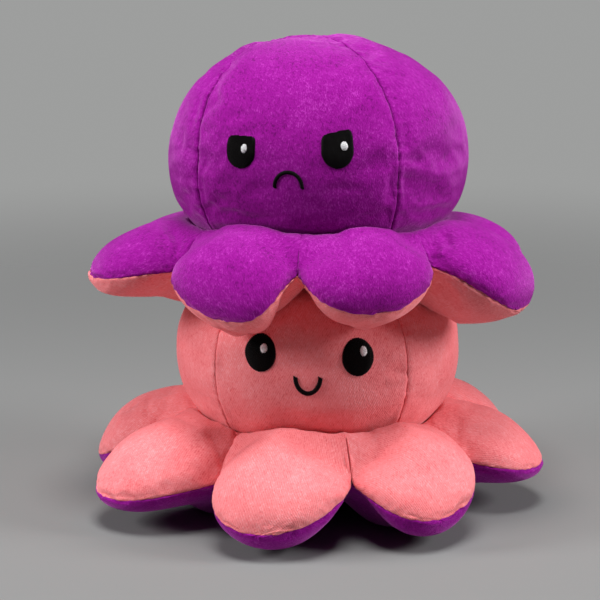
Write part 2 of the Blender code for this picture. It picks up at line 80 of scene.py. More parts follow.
MM = 0.001
FULLNESS = 2.2               # exponent of a head's outline
SQUARENESS = 2.35            # exponent of its section
HEAD_CLOSE = 10 * MM         # neck down to where the head's outline would close
SEAM_DIP = 0.8 * MM
FABRIC = 1.5 * MM
GAP = 0.3 * MM
NECK_STUFFING = 3.5 * MM
MOUTH_RADIUS = 42 * MM       # pocket at the underside
POCKET_HEIGHT = 30 * MM
FRONT_GORE_HALF = math.radians(39.3)  # half the turn that a front or back gore takes
TENTACLES = 8
CREASE = 62 * MM             # axis of the toy to the crease at a tentacle's root
VALLEY_RADIUS = 76 * MM      # axis of the toy to the notch between two tentacles
VALLEY_ROUNDING = 4          # how late the cloth between two tentacles turns from a fold to a notch
UNDER_VALLEY_SWELL = 1.6     # how late the underside rises into a valley
TOP_ARCH = 0.45              # how far the upper cloth shares the arches of the underside
BACK_SLUMP = 1.5             # how late a toy's ring sinks towards its back
LIFT_REACH = 3               # how close to a notch the ring is drawn up
UNDER_DEPTH = 21 * MM        # seam down to the underside
FLOOR_FLAT = 1.5 * MM
OUTLINE_SWELL = 2.3          # how blunt the end of a tentacle is
TOP_TAPER = 0.75
UNDER_TAPER = 0.35
UNDER_RISE_SHARE = 0.6
HALF_SECTOR = math.pi / TENTACLES
HALF_STEP = math.pi / 24     # half of one facet of the frame

GORE_COLUMNS = 44            # the cloth's pitch, before it is made finer
GORE_LEVELS = 60
SECTOR_COLUMNS = 36
SKIRT_ROWS = 14
TIP_ROWS = 24
FINER = 2                    # how many times a cloth that shows is made finer
SIDES = ("front", "right", "back", "left")

WELD = 0.02 * MM             # points that lie this close are one
SEAM_NEAR = 0.5 * MM         # what counts as on a head's seam
SEAM_EDGE = (0.1 * MM, 0.7 * MM)       # from the seam itself to where folds and rolls show in full
HEAD_SEAM = ((1.1, 0.7), (7, 0.9))     # how widely and deeply, in mm, a seam and the cloth beside it draw in
RING_SEAM = ((0.9, 0.4), (4.5, 0.5))
ROLL = (0.7 * MM, 2.0 * MM)  # how high the cloth rolls over beside a seam, and how far from it
GATHER_REACH = 4.5 * MM      # how far from a seam its gathers run
FRONT_GATHERS = 0.3 * MM     # how high the gathers stand on a head's front, its other gores and the ring
GORE_GATHERS = 0.65 * MM
RING_GATHERS = 0.45 * MM
GATHER_DIP = -0.3            # how far they dip, as a share
HEAD_BULGE = 2.5 * MM        # how far the stuffing may push a head's cloth, or the ring's
RING_BULGE = 1.6 * MM
HEAD_LUMPS = 30 * MM         # across the lumps in a head's stuffing, or the ring's
RING_LUMPS = 24 * MM
LUMPINESS = 0.8 * MM
HEAD_FREE = (8 * MM, 22 * MM)          # height over the neck at which a head's cloth moves freely
CROWN_FREE = (40 * MM, 52 * MM)        # radius at which the lower crown, sat on, does
RING_FREE = (40 * MM, 58 * MM)         # radius at which the ring does
SOFT_VALLEY = 34 * MM        # how far out from the neck a soft valley runs
SOFT_VALLEY_PULL = 0.6       # how far from a seam its start counts as, as a share of that
VALLEY_HOLD = 1.4            # how firmly a fold holds its valley while it is stuffed
DEEPER = (CREASE - 8 * MM, CREASE + 15 * MM)    # radii between which a tentacle takes its own depth
TUCK_TOP = 4 * MM            # how far a piece's hidden wall is tucked down at the neck
TUCK_UNDER = -2 * MM
BEND_START = 0.3 * MM        # past the notches' middle, from which a start point is worked out for each tentacle but not used
BEND_END = 88 * MM           # from which an end point is worked out for it, also not used
THREAD_PITCH = 0.42 * MM     # between the threads of a patch
THREAD_END = 0.2 * MM        # how deep a thread's ends go into the cloth

# Folds and wrinkles: width and depth in mm, ridges below 0, and the places that each runs through
FOLDS = {
    "upper_gore": (
        (1.6, 0.9, ((26.0, -42.0, 195.7), (35.2, -36.1, 195.5))),
        (1.6, 0.8, ((28.4, -46.9, 190.3), (36.7, -41.6, 190.1))),
        (1.3, 0.5, ((30.0, -50.0, 186.8), (35.6, -47.6, 185.7))),
        (1.6, -0.6, ((27.6, -44.2, 193.0), (36.0, -38.8, 192.8))),
        (1.8, 0.9, ((33.6, -58.5, 163.0), (45.0, -50.8, 161.9))),
        (1.6, -0.5, ((34.0, -58.4, 160.1), (40.2, -54.3, 159.5))),
        (1.2, 0.4, ((34.5, -58.5, 155.4), (38.9, -55.6, 154.1))),
        (1.5, 0.8, ((-61.3, -30.8, 152.1), (-52.3, -43.5, 154.0))),
        (1.5, -0.5, ((-59.5, -31.9, 148.8), (-52.0, -43.4, 150.5))),
        (1.5, 0.9, ((-57.8, -32.9, 145.4), (-51.2, -42.7, 146.5))),
        (2.0, 0.7, ((-62.3, -25.8, 162.8), (-53.2, -41.0, 166.1))),
        (2.2, 1.0, ((-39.5, -49.0, 179.5), (-33.5, -51.4, 180.7), (-26.7, -55.0, 180.7))),
        (2.0, -0.6, ((-37.8, -51.5, 176.0), (-30.9, -54.6, 176.4))),
        (2.5, 0.8, ((-49.1, -42.5, 140.0), (-41.4, -51.2, 144.9), (-33.6, -56.4, 147.4))),
        (1.3, -0.9, ((-56.0, -34.4, 143.0), (-50.2, -39.4, 137.7), (-46.8, -38.8, 133.2)))),
    "lower_gore": (
        (1.2, 0.4, ((40.6, -50.3, 78.2), (53.3, -36.6, 75.7))),
        (1.2, 0.4, ((40.6, -50.8, 72.5), (51.3, -41.1, 69.6))),
        (1.2, 0.45, ((40.7, -51.2, 67.7), (54.5, -34.9, 64.4))),
        (1.2, 0.4, ((40.8, -49.9, 62.0), (52.8, -35.3, 59.0))),
        (1.2, 0.4, ((40.1, -49.0, 57.2), (48.9, -40.5, 55.4))),
        (1.5, -0.5, ((28.2, -58.7, 66.6), (38.4, -53.2, 66.9))),
        (1.5, 0.5, ((30.4, -57.3, 71.1), (38.4, -53.0, 69.1))),
        (1.5, 0.5, ((32.0, -53.6, 54.9), (37.8, -51.1, 57.8)))),
    "lower_arm": (
        (1.8, 0.8, ((-60.2, 2.4, 44.2), (-52.6, -19.6, 43.7), (-45.3, -43.1, 43.4))),
        (2.0, 0.7, ((11.5, -76.0, 24.7), (7.8, -79.4, 32.3), (2.2, -82.4, 36.7))),
        (2.0, 0.6, ((11.1, -81.2, 25.8), (4.3, -86.6, 30.1), (-3.3, -91.8, 31.8))),
        (2.0, -0.5, ((8.5, -85.9, 24.2), (0.9, -92.0, 28.0), (-5.8, -95.1, 28.6))),
        (2.5, 0.6, ((10.8, -76.9, 29.7), (6.6, -75.5, 36.4), (4.5, -70.7, 40.2))),
        (2.0, 0.9, ((15.9, -75.5, 29.3), (17.7, -73.4, 34.4), (18.2, -69.6, 37.6))),
        (2.0, -1.0, ((48.6, -36.9, 42.0), (53.1, -42.2, 41.4), (56.7, -47.7, 37.1), (59.2, -52.8, 31.9))),
        (2.0, 0.6, ((-49.3, -64.2, 25.7), (-53.1, -64.0, 29.2), (-56.6, -63.9, 31.0))),
        (2.0, 1.2, ((-84.0, 9.0, 39.0), (-87.0, 4.7, 35.9), (-83.8, -6.8, 30.5))),
        (1.8, -0.8, ((-90.0, 6.0, 35.0), (-92.8, 0.8, 30.8), (-91.9, -4.7, 24.2))),
        (1.6, 1.2, ((-95.1, -0.8, 24.0), (-95.0, -2.5, 18.0))),
        (1.8, 0.8, ((-78.4, 9.2, 41.4), (-78.3, -5.2, 37.2))),
        (1.5, 0.9, ((2.5, -61.5, 43.3), (3.7, -66.5, 41.6), (4.5, -72.2, 39.8)))),
    "upper_arm": (
        (1.5, -0.9, ((50.4, -47.4, 130.4), (51.5, -56.9, 126.1), (50.9, -59.6, 121.4))),
        (1.6, 1.2, ((47.9, -52.1, 129.5), (49.3, -58.1, 124.6), (48.4, -59.5, 119.7))),
        (1.6, 0.8, ((54.2, -47.4, 129.5), (55.4, -55.5, 125.8))),
        (2.0, 1.0, ((-65.2, -29.7, 129.0), (-61.1, -39.3, 125.4), (-61.7, -45.1, 119.5)))),
}

# Broad dents and bulges of the stuffing, in the same way
DENTS = {
    "upper_gore": (
        (8, 1.4, ((-39.8, -15.6, 200.1), (-44.5, -27.7, 193.4), (-47.0, -33.0, 189.0))),
        (15, 4.2, ((-66.0, 4.0, 164.0), (-63.0, 4.0, 173.0), (-56.5, 4.0, 187.0), (-47.0, 6.0, 197.0),
                   (-34.0, 8.0, 205.5))),
        (14, 4.6, ((18.0, 8.0, 210.5), (31.0, 8.0, 207.5), (43.0, 6.0, 203.0), (54.0, 3.0, 193.5))),
        (9, -1.2, ((53.3, -17.9, 187.2), (50.0, -30.0, 187.0))),
        (5, 1.5, ((61.0, -18.0, 171.0), (56.0, -34.0, 170.5))),
        (8, -0.3, ((63.5, -15.0, 158.0), (62.0, -24.0, 154.0))),
        (9, -1.2, ((-60.2, -30.5, 167.8), (-62.3, -27.5, 156.4))),
        (6, 0.9, ((-46.5, -48.7, 157.4), (-49.0, -44.0, 166.0))),
        (10, 1.0, ((-8.0, -60.0, 180.0), (6.0, -60.0, 178.0)))),
    "lower_gore": (
        (5, -0.8, ((-30.0, -56.0, 60.0), (0.0, -62.0, 55.0), (30.0, -56.0, 60.0))),
        (5, 0.8, ((47.0, -42.0, 72.0), (50.0, -38.0, 60.0)))),
    "lower_arm": (
        (4.5, 1.2, ((4.6, -62.4, 42.2), (11.0, -67.8, 37.1), (14.7, -72.8, 32.0))),
        (11, -2.2, ((24.0, -63.0, 42.5), (33.0, -60.5, 43.5), (41.0, -56.0, 43.0))),
        (8, 1.2, ((-29.3, -84.6, 35.7), (-20.0, -80.0, 39.0))),
        (7, 0.9, ((42.2, -82.9, 30.7), (38.0, -76.0, 36.0)))),
    "upper_arm": (
        (6, 1.0, ((-47.8, -72.6, 122.3), (-42.0, -68.0, 126.0))),
        (8, 0.9, ((4.0, -82.3, 124.2), (18.0, -80.0, 124.0))),
        (11, -2.8, ((-42.0, -45.0, 132.0), (-28.0, -53.0, 133.0), (-15.0, -58.0, 133.0))),
        (11, -3.2, ((8.0, -60.0, 133.0), (18.0, -58.0, 133.0), (32.0, -52.0, 133.0)))),
}


# Sizes and colours that a user would change

def distance(name, default, description):
    """A length setting, in metres."""
    return FloatProperty(name=name, description=description, default=default, unit="LENGTH", precision=4)


def amount(name, default, description):
    """A number from 0 up."""
    return FloatProperty(name=name, description=description, default=default, min=0)


def turn(name, default, description):
    """An angle setting, given in degrees."""
    return FloatProperty(name=name, description=description, default=math.radians(default), unit="ROTATION")


def colour(name, default, description):
    """A colour setting."""
    return FloatVectorProperty(name=name, description=description, default=default, size=3,
                               subtype="COLOR", min=0, max=1)


def each_arm(name, default, description):
    """A setting with one number for each tentacle, from the first one round."""
    return FloatVectorProperty(name=name, description=description, default=default, size=TENTACLES)


# A toy's settings: what each one is, what it says, and the lower and the upper toy's value
TOY_SETTINGS = {
    "head_radius": (distance, "Half the head's width", 0.0634, 0.0658),
    "head_rise": (distance, "Widest level up to the crown", 0.044, 0.0545),
    "head_drop": (distance, "Widest level down to the neck", 0.0405, 0.039),
    "neck_rise": (distance, "Seam up to the neck", 0.011, 0.005),
    "mouth_drop": (distance, "Seam down to the pocket's mouth", 0.012, 0.005),
    "crest": (distance, "Seam up to the top of a tentacle at its root", 0.026, 0.0205),
    "reach": (distance, "Axis of the toy to an even tentacle's tip", 0.103, 0.1),
    "crown_left": (distance, "Where the gores meet, left of the axis", 0.0, 0.009),
    "crown_back": (distance, "Where the gores meet, behind the axis", 0.0, 0.015),
    "back_sink": (distance, "How much lower the tentacles' roots lie at the back", 0.0, 0.011),
    "facing": (turn, "Turn of the face from the front", -4, -10.3),
    "first_arm": (turn, "Turn of the first tentacle from the front", -12, -29.5),
    "reach_shares": (each_arm, "Each tentacle's reach as a share of the even one",
                     (1.02, 0.98, 1.005, 0.98, 1.0, 0.98, 1.02, 1.07),
                     (0.95, 0.91, 1.01, 0.94, 0.98, 0.98, 0.94, 1.05)),
    "droops": (each_arm, "How far each tentacle hangs, in degrees",
               (18, 14, -1, 14, 14, 14, 18, 11), (43, 36, 44, 48, 36, 36, 42, 14)),
    "under_shares": (each_arm, "Each tentacle's depth under its seam as a share of the even one",
                     (0.9, 0.85, 0.5, 0.7, 0.8, 0.8, 0.8, 0.65), (1.25, 1, 1.25, 1, 1, 1, 1, 0.8)),
    "sways": (each_arm, "How far each tentacle swings aside, in degrees",
              (-2.5, -3, 0, 0, 0, 0, 0, -2), (6, -2, 0, 0, 0, 0, 0, 0)),
    "notch_lift": (distance, "How far the seam is drawn up at an even notch", 0.006, 0.0035),
    "lift_shares": (each_arm, "That of each notch as a share",
                    (1, 1.25, 1, 1, 1, 1, 1, 0.5), (1, 1.35, 1, 1, 1, 1, 1, 0)),
    "arches": (each_arm, "How widely the underside arches up to each notch",
               (1, 0.6, 0.5, 0.5, 0.5, 0.5, 0.5, 0.6), (1, 0.7, 0.5, 0.5, 0.5, 0.5, 0.5, 0.7)),
    "valley_folds": (each_arm, "How sharply the cloth folds between the neck and each notch",
                     (0, 0.9, 0.6, 0.6, 0.6, 0.6, 0.8, 0.9), (0.55, 0.8, 0.8, 0.7, 0.7, 0.7, 0.8, 0.8)),
    "valley_swells": (each_arm, "How late the cloth falls into each valley between two tentacles",
                      (5, 3, 4, 4, 4, 4, 4, 3), (5, 5, 5, 5, 5, 5, 5, 5)),
    "valley_skews": (each_arm, "Turn of each valley's start at the neck, in degrees",
                     (0, 0, 0, 0, 0, 0, 0, -7.4), (0, 0, 0, 0, 0, 0, 0, 0)),
}


def toy_sizes(name, description, which):
    """The group of settings for one of the toys."""
    made = {}
    for key, (kind, says, *values) in TOY_SETTINGS.items():
        made[key] = kind(key.replace("_", " ").capitalize(), values[which], says)
    return type(name, (bpy.types.PropertyGroup,), {"__doc__": description, "__annotations__": made})


LowerToySizes = toy_sizes("LowerToySizes", "The pink toy with the smile", 0)
UpperToySizes = toy_sizes("UpperToySizes", "The purple toy with the frown, sitting on the other", 1)


class Finish(bpy.types.PropertyGroup):
    """Colours of the cloth and thread, and how the cloth is stuffed."""

    pink: colour("Pink plush", (0.92, 0.235, 0.255), "Colour of the pink pile")
    pink_deep: colour("Pink shade", (0.76, 0.09, 0.108), "Colour deep in the pink pile")
    pink_pale: colour("Pink tips", (0.99, 0.42, 0.44), "Colour of the pink pile's tips")
    purple: colour("Purple plush", (0.275, 0.0045, 0.25), "Colour of the purple pile")
    purple_deep: colour("Purple shade", (0.105, 0.0004, 0.095), "Colour deep in the purple pile")
    purple_pale: colour("Purple tips", (0.49, 0.042, 0.455), "Colour of the purple pile's tips")
    black: colour("Black thread", (0.0015, 0.001, 0.0012), "Colour of the eyes and mouths")
    white: colour("White thread", (0.85, 0.82, 0.88), "Colour of the glints")
    pressure: amount("Stuffing pressure", 4, "How hard the stuffing pushes")
    slack: amount("Slack", 0.025, "Cloth to spare between the seams, as a share of its length")
    thread: distance("Thread radius", 0.00022, "Half the thickness of an embroidery thread")


class StageSizes(bpy.types.PropertyGroup):
    """The camera, the lights and the floor."""

    camera: FloatVectorProperty(name="Camera", description="Where the camera stands", size=3,
                                default=(-0.0083, -0.85, 0.275), subtype="TRANSLATION")
    dip: turn("Dip", 12.26, "How far the camera looks down")
    lens: amount("Lens", 114.18, "Focal length on a 36 mm sensor, in millimetres")
    floor: colour("Floor", (0.215, 0.217, 0.216), "Colour of the floor")
    backdrop: amount("Backdrop", 0.34, "Brightness behind the floor")
    fill: amount("Fill", 0.03, "Strength of the light from all sides")
    top: amount("Top lamp", 15.5, "Power of the softbox above, in watts")
    left: amount("Left lamp", 9.4, "Power of the left softbox, in watts")
    right: amount("Right lamp", 10, "Power of the right softbox, in watts")


# Shapes shared with the frame

def points_at(azimuth, radius, height):
    """Points at azimuths from -Y towards +X, radii and heights."""
    azimuth, radius, height = np.broadcast_arrays(azimuth, radius, height)
    return np.stack([radius * np.sin(azimuth), -radius * np.cos(azimuth), height], axis=-1)


class Toy:
    """One toy's shape as its frame has it, worked out for whole arrays of points."""

    def __init__(self, name, sizes, outside, inside, seat=None):
        self.name, self.outside, self.inside, self.seat = name, outside, inside, seat
        for key in TOY_SETTINGS:
            value = getattr(sizes, key)
            setattr(self, key, value if isinstance(value, float) else list(value))
        self.centre = self.neck_rise + self.head_drop
        self.belly = self.head_drop + HEAD_CLOSE
        self.clearance = GAP + self.head_radius * (1 - math.cos(HALF_STEP))
        inset = FABRIC + SEAM_DIP + self.clearance
        share = self.head_drop / (self.belly - inset)
        stuffing = (self.head_radius - inset) * (1 - share ** FULLNESS) ** (1 / FULLNESS)
        self.waist = stuffing - NECK_STUFFING - GAP - FABRIC
        self.base = UNDER_DEPTH - FLOOR_FLAT
        if seat:
            corner = points_at(seat.facing + math.pi / 4, MOUTH_RADIUS, 0)
            self.base = seat.base + seat.dome_height(corner) + self.mouth_drop

    def gore_radius(self, azimuth, grow=0.0):
        """The head's widest radius towards an azimuth."""
        aside = azimuth - self.facing
        square = np.abs(np.cos(aside)) ** SQUARENESS + np.abs(np.sin(aside)) ** SQUARENESS
        return self.head_radius * square ** (-1 / SQUARENESS) + grow

    def cap_height(self, points, above, grow):
        """Distance from the widest level to the head's surface, above or below points."""
        radius = self.gore_radius(np.arctan2(points[..., 0], -points[..., 1]), grow)
        share = np.minimum(1, np.hypot(points[..., 0], points[..., 1]) / radius)
        half = self.head_rise if above else self.belly
        return (half + grow) * (1 - share ** FULLNESS) ** (1 / FULLNESS)

    def dome_height(self, points):
        """The lowest places for what rests on the head."""
        return self.centre + self.cap_height(points, True, self.clearance)

    def belly_height(self, points):
        """The highest places for what lies under the head."""
        return np.maximum(self.neck_rise, self.centre - self.cap_height(points, False, GAP))

    def floor_height(self, points):
        """The lowest places that the toy's underside can take."""
        if not self.seat:
            return np.full(points.shape[:-1], -self.base)
        return self.seat.base + self.seat.dome_height(points) - self.base

    def throat_radius(self, height):
        """The pocket's radius between the neck and the mouth."""
        share = (self.neck_rise - height) / (self.neck_rise + self.mouth_drop)
        return self.waist + (MOUTH_RADIUS - self.waist) * share

    def skirt_inner(self, height):
        """The radius at which the ring of tentacles starts."""
        return (self.throat_radius(height) + FABRIC + GAP) / math.cos(HALF_STEP)

    def on_head(self, azimuth, level):
        """Points of the head in the toy's frame, at levels from the widest one to a quarter turn."""
        azimuth, level = np.broadcast_arrays(azimuth, level)
        spread = np.maximum(0, np.cos(level)) ** (2 / FULLNESS)
        lift = np.sign(level) * np.abs(np.sin(level)) ** (2 / FULLNESS)
        half = np.where(level > 0, self.head_rise, self.belly)
        points = points_at(azimuth, self.gore_radius(azimuth) * spread, half * lift)
        shift = np.where(level > 0, np.sin(level) ** 2, 0)
        points[..., 0] -= self.crown_left * shift
        points[..., 1] += self.crown_back * shift
        flat = np.hypot(points[..., 0], points[..., 1])
        flat = flat / self.gore_radius(np.arctan2(points[..., 0], -points[..., 1]))
        scale = (flat ** FULLNESS + (np.abs(points[..., 2]) / half) ** FULLNESS) ** (-1 / FULLNESS)
        points *= np.where(level > 0, scale, 1)[..., None]
        points[..., 2] += self.centre
        return points

    def face_point(self, aside, up):
        """A point on the face and the way out of it, from a distance round the head and one up."""
        azimuth = self.facing + aside / self.head_radius
        half = self.head_rise if up > 0 else self.belly
        radius = self.gore_radius(azimuth) * (1 - (abs(up) / half) ** FULLNESS) ** (1 / FULLNESS)
        place = Vector(points_at(azimuth, radius, up + self.centre + self.base))
        out = radius ** (FULLNESS - 1) / self.gore_radius(azimuth) ** FULLNESS
        rise = math.copysign(abs(up) ** (FULLNESS - 1) / half ** FULLNESS, up)
        return place, (Vector(points_at(azimuth, out, rise))).normalized()

    def gore(self, index):
        """A quarter of the head's cloth, rows from the neck to the crown."""
        neck = -math.asin((self.head_drop / self.belly) ** (FULLNESS / 2))
        levels = neck + (math.pi / 2 - neck) * np.linspace(0, 1, GORE_LEVELS + 1)
        middle = self.facing + index * math.pi / 2
        half = math.pi / 2 - FRONT_GORE_HALF if index % 2 else FRONT_GORE_HALF
        even = np.linspace(-1, 1, GORE_COLUMNS + 1)
        azimuths = middle + (0.55 * even + 0.45 * np.sin(math.pi / 2 * even)) * half
        return self.on_head(azimuths[None, :], levels[:, None])

    def crest_at(self, azimuth):
        """Height of a tentacle's root over the seam, lower towards the toy's back."""
        return self.crest - self.back_sink * ((1 - np.cos(azimuth)) / 2) ** BACK_SLUMP

    def middle_height(self, top, crest, rows, inner, length):
        """Height of a tentacle's middle line over the seam, from the neck to the tip."""
        share = np.clip((rows - CREASE) / length, 0, 1)
        part = np.clip((rows - inner) / (CREASE - inner), 0, 1)
        if top:
            skirt = self.neck_rise + (crest - self.neck_rise) * np.sin(math.pi / 2 * part)
            return np.where(rows < CREASE, skirt, crest * (1 - share ** 2) ** TOP_TAPER)
        down = np.minimum(1, part / UNDER_RISE_SHARE)
        skirt = self.mouth_drop + (UNDER_DEPTH - self.mouth_drop) * np.sin(math.pi / 2 * down)
        return np.where(rows < CREASE, skirt, UNDER_DEPTH * (1 - share ** 2) ** UNDER_TAPER)

    def sector(self, arm, top):
        """A tentacle's upper or lower cloth with its share of the skirt, rows from the neck to the tip."""
        azimuth = self.first_arm + arm * 2 * HALF_SECTOR
        droop = math.radians(self.droops[arm])
        reach = self.reach * self.reach_shares[arm]
        length = (reach - CREASE) * droop / math.sin(droop)
        inner = self.skirt_inner(self.neck_rise if top else -self.mouth_drop) * math.cos(HALF_SECTOR)
        valley = VALLEY_RADIUS * math.cos(HALF_SECTOR)
        end = CREASE + length
        rows = np.concatenate([
            np.linspace(inner, valley, SKIRT_ROWS + 1)[:-1],
            valley + (end - valley) * np.sin(np.linspace(0, math.pi / 2, TIP_ROWS + 1))])[:, None]
        turn_in = np.linspace(-1, 1, SECTOR_COLUMNS + 1)[None, :] * math.pi / 2
        aside = np.sin(turn_in)
        past = np.clip((rows - valley) / (end - valley), 0, 1)
        width = np.minimum(valley * math.tan(HALF_SECTOR) * (1 - past ** OUTLINE_SWELL) ** 0.5,
                           rows * math.tan(HALF_SECTOR))
        crest = self.crest_at(azimuth + aside * HALF_SECTOR)
        middle = self.middle_height(top, crest, rows, inner, length)
        outward = np.clip((rows - inner) / (valley - inner), 0, 1)
        arch = np.where(aside > 0, self.arches[arm], self.arches[arm - 1])
        if top:
            late = np.where(aside > 0, self.valley_swells[arm], self.valley_swells[arm - 1])
            sharp = np.where(aside > 0, self.valley_folds[arm], self.valley_folds[arm - 1])
            arch = arch * TOP_ARCH
        else:
            late = UNDER_VALLEY_SWELL * (1 - 0.85 * arch)
            sharp = 1 - arch * smoothstep(outward, 0.2, 0.9)
            middle = middle * (1 + (self.under_shares[arm] - 1) * smoothstep(rows, *DEEPER))
        even = self.middle_height(top, crest, rows, inner, self.reach - CREASE)
        edge = np.minimum(middle, even * (1 - outward ** late))
        edge = np.where(np.abs(aside) > 1 - 1e-9, even * (1 - outward ** late), edge)
        rounding = outward ** VALLEY_ROUNDING * (1 - arch * (1 - smoothstep(past, 0, 0.5 if top else 0.85)))
        fold = sharp * np.cos(math.pi / 2 * aside) + (1 - sharp) * (1 + np.cos(math.pi * aside)) / 2
        profile = rounding * np.cos(turn_in) + (1 - rounding) * fold
        profile = np.where(np.abs(aside) > 1 - 1e-9, 0, profile)
        height = (edge + (middle - edge) * profile) * (1 if top else -1)
        tip = (CREASE + length / droop * math.sin(droop) - valley, length / droop * (1 - math.cos(droop)))
        half_turn = math.atan2(tip[1], tip[0])
        arc = math.hypot(*tip) * half_turn / math.sin(half_turn)
        bend = 2 * half_turn * past
        radius = arc / (2 * half_turn)
        out = np.where(past > 0, valley + radius * np.sin(bend), rows) + np.sin(bend) * height
        sway = reach * math.sin(math.radians(self.sways[arm]))
        across = width * aside + sway * past ** 2
        forward = points_at(azimuth, 1, 0)
        sideways = points_at(azimuth + math.pi / 2, 1, 0)
        points = out[..., None] * forward + across[..., None] * sideways
        lift = self.notch_lift * np.where(aside > 0, self.lift_shares[arm], self.lift_shares[arm - 1])
        lift = lift * outward ** LIFT_REACH * np.abs(aside) ** LIFT_REACH * (1 - past)
        points[..., 2] = lift - radius * (1 - np.cos(bend)) + np.cos(bend) * height
        if top:
            skew = np.where(aside > 0, self.valley_skews[arm], self.valley_skews[arm - 1])
            skew = np.radians(skew) * (1 - outward) * aside ** 2
            x, y = points[..., 0].copy(), points[..., 1].copy()
            points[..., 0] = x * np.cos(skew) - y * np.sin(skew)
            points[..., 1] = x * np.sin(skew) + y * np.cos(skew)
        return points

    def kept_clear(self, points, top):
        """Ring points, pressed under the head and over what the toy sits on."""
        if top:
            points[..., 2] = np.minimum(points[..., 2], self.belly_height(points))
        else:
            points[..., 2] = np.maximum(points[..., 2], self.floor_height(points))
        return points


# Cloth

def ripple(along, seed, waves=(4.3, 6.1, 9.2, 14.7)):
    """A wavy line that doesn't repeat, from -1 to 1, at distances along a seam."""
    total = np.zeros_like(along)
    for index, wave in enumerate(waves):
        total += np.sin(2 * math.pi * along / (wave * MM) + 1.7 * seed * (index + 1) + index)
    return total / len(waves)


def lumps(points, size, seed):
    """Smooth noise at points, from -1 to 1, with bumps of about a size."""
    shift = Vector((seed * 3.1, seed * 1.7, seed * 5.3))
    return np.array([noise.noise(Vector(point) / size + shift) for point in points])


def smoothstep(value, low, high):
    """A soft step from 0 to 1."""
    share = np.clip((value - low) / (high - low), 0, 1)
    return share * share * (3 - 2 * share)


def turn_outward(shape):
    """Turn a closed shape's faces outward."""
    bmesh.ops.recalc_face_normals(shape, faces=shape.faces)
    if shape.calc_volume(signed=True) < 0:
        bmesh.ops.reverse_faces(shape, faces=shape.faces)


def vaulted(shape, top, rings):
    """Smooth faces from a middle point out over rings of points."""
    count = len(rings[0])
    for step in range(count):
        after = (step + 1) % count
        shape.faces.new((top, rings[0][step], rings[0][after]))
        for inner, outer in zip(rings, rings[1:]):
            shape.faces.new((inner[step], outer[step], outer[after], inner[after]))
    for face in shape.faces:
        face.smooth = True


def placed(name, mesh, material=None):
    """An object in the scene for a mesh."""
    if material:
        mesh.materials.append(material)
    item = bpy.data.objects.new(name, mesh)
    bpy.context.scene.collection.objects.link(item)
    return item


def formed(name, shape, material):
    """An object in the scene for a shape, which is used up."""
    mesh = bpy.data.meshes.new(name)
    shape.to_mesh(mesh)
    shape.free()
    return placed(name, mesh, material)


def settle(item):
    """Turn what an object's modifiers make into its own plain mesh."""
    graph = bpy.context.evaluated_depsgraph_get()
    mesh = bpy.data.meshes.new_from_object(item.evaluated_get(graph))
    mesh.name = item.name
    item.modifiers.clear()
    item.data = mesh


def read(items, key, width=1, kind=float):
    """One property of a mesh's points, faces or corners, as an array."""
    values = np.zeros(len(items) * width, kind)
    items.foreach_get(key, values)
    return values.reshape(-1, width) if width > 1 else values


def cloth_normals(mesh):
    """Each point's normal from its cloth faces alone, and nothing where only the wall's flat faces meet."""
    faces = mesh.polygons
    weights = read(faces, "area") * read(faces, "use_smooth", kind=bool)
    normals = read(faces, "normal", 3) * weights[:, None]
    out = np.zeros((len(mesh.vertices), 3))
    np.add.at(out, read(mesh.loops, "vertex_index", kind=int),
              np.repeat(normals, read(faces, "loop_total", kind=int), axis=0))
    return out / np.maximum(np.linalg.norm(out, axis=1), 1e-12)[:, None]


def arc_lengths(grid, axis):
    """Distances along a grid of points from its first row or column."""
    steps = np.linalg.norm(np.diff(grid, axis=axis), axis=-1)
    start = np.zeros_like(np.take(steps, [0], axis=axis))
    return np.concatenate([start, np.cumsum(steps, axis=axis)], axis=axis)


def near_path(points, path):
    """How far points lie from a line through places, and how far along it they are, from 0 to 1."""
    best = np.full(len(points), 1.0)
    share = np.zeros(len(points))
    places = np.array(path) * MM
    for index, (start, end) in enumerate(zip(places, places[1:])):
        step = end - start
        part = np.clip((points - start) @ step / (step @ step), 0, 1)
        distance_to = np.linalg.norm(points - start - part[:, None] * step, axis=1)
        closer = distance_to < best
        best = np.where(closer, distance_to, best)
        share = np.where(closer, (index + part) / (len(places) - 1), share)
    return best, share


def folded(points, folds):
    """How deep the folds press in at points, in metres."""
    total = np.zeros(len(points))
    for width, depth, path in folds:
        away, share = near_path(points, path)
        fade = np.minimum(1, 4 * np.minimum(share, 1 - share) + 0.25)
        total += depth * MM * fade * np.exp(-(away / (width * MM)) ** 2)
    return total


def softened(grid, times=4):
    """A grid's values with the sharp changes worn away inside it, and its sides kept."""
    for _ in range(times):
        worn = grid.copy()
        beside = grid[:-2, 1:-1] + grid[2:, 1:-1] + grid[1:-1, :-2] + grid[1:-1, 2:]
        worn[1:-1, 1:-1] = (beside + 2 * grid[1:-1, 1:-1]) / 6
        grid = worn
    return grid


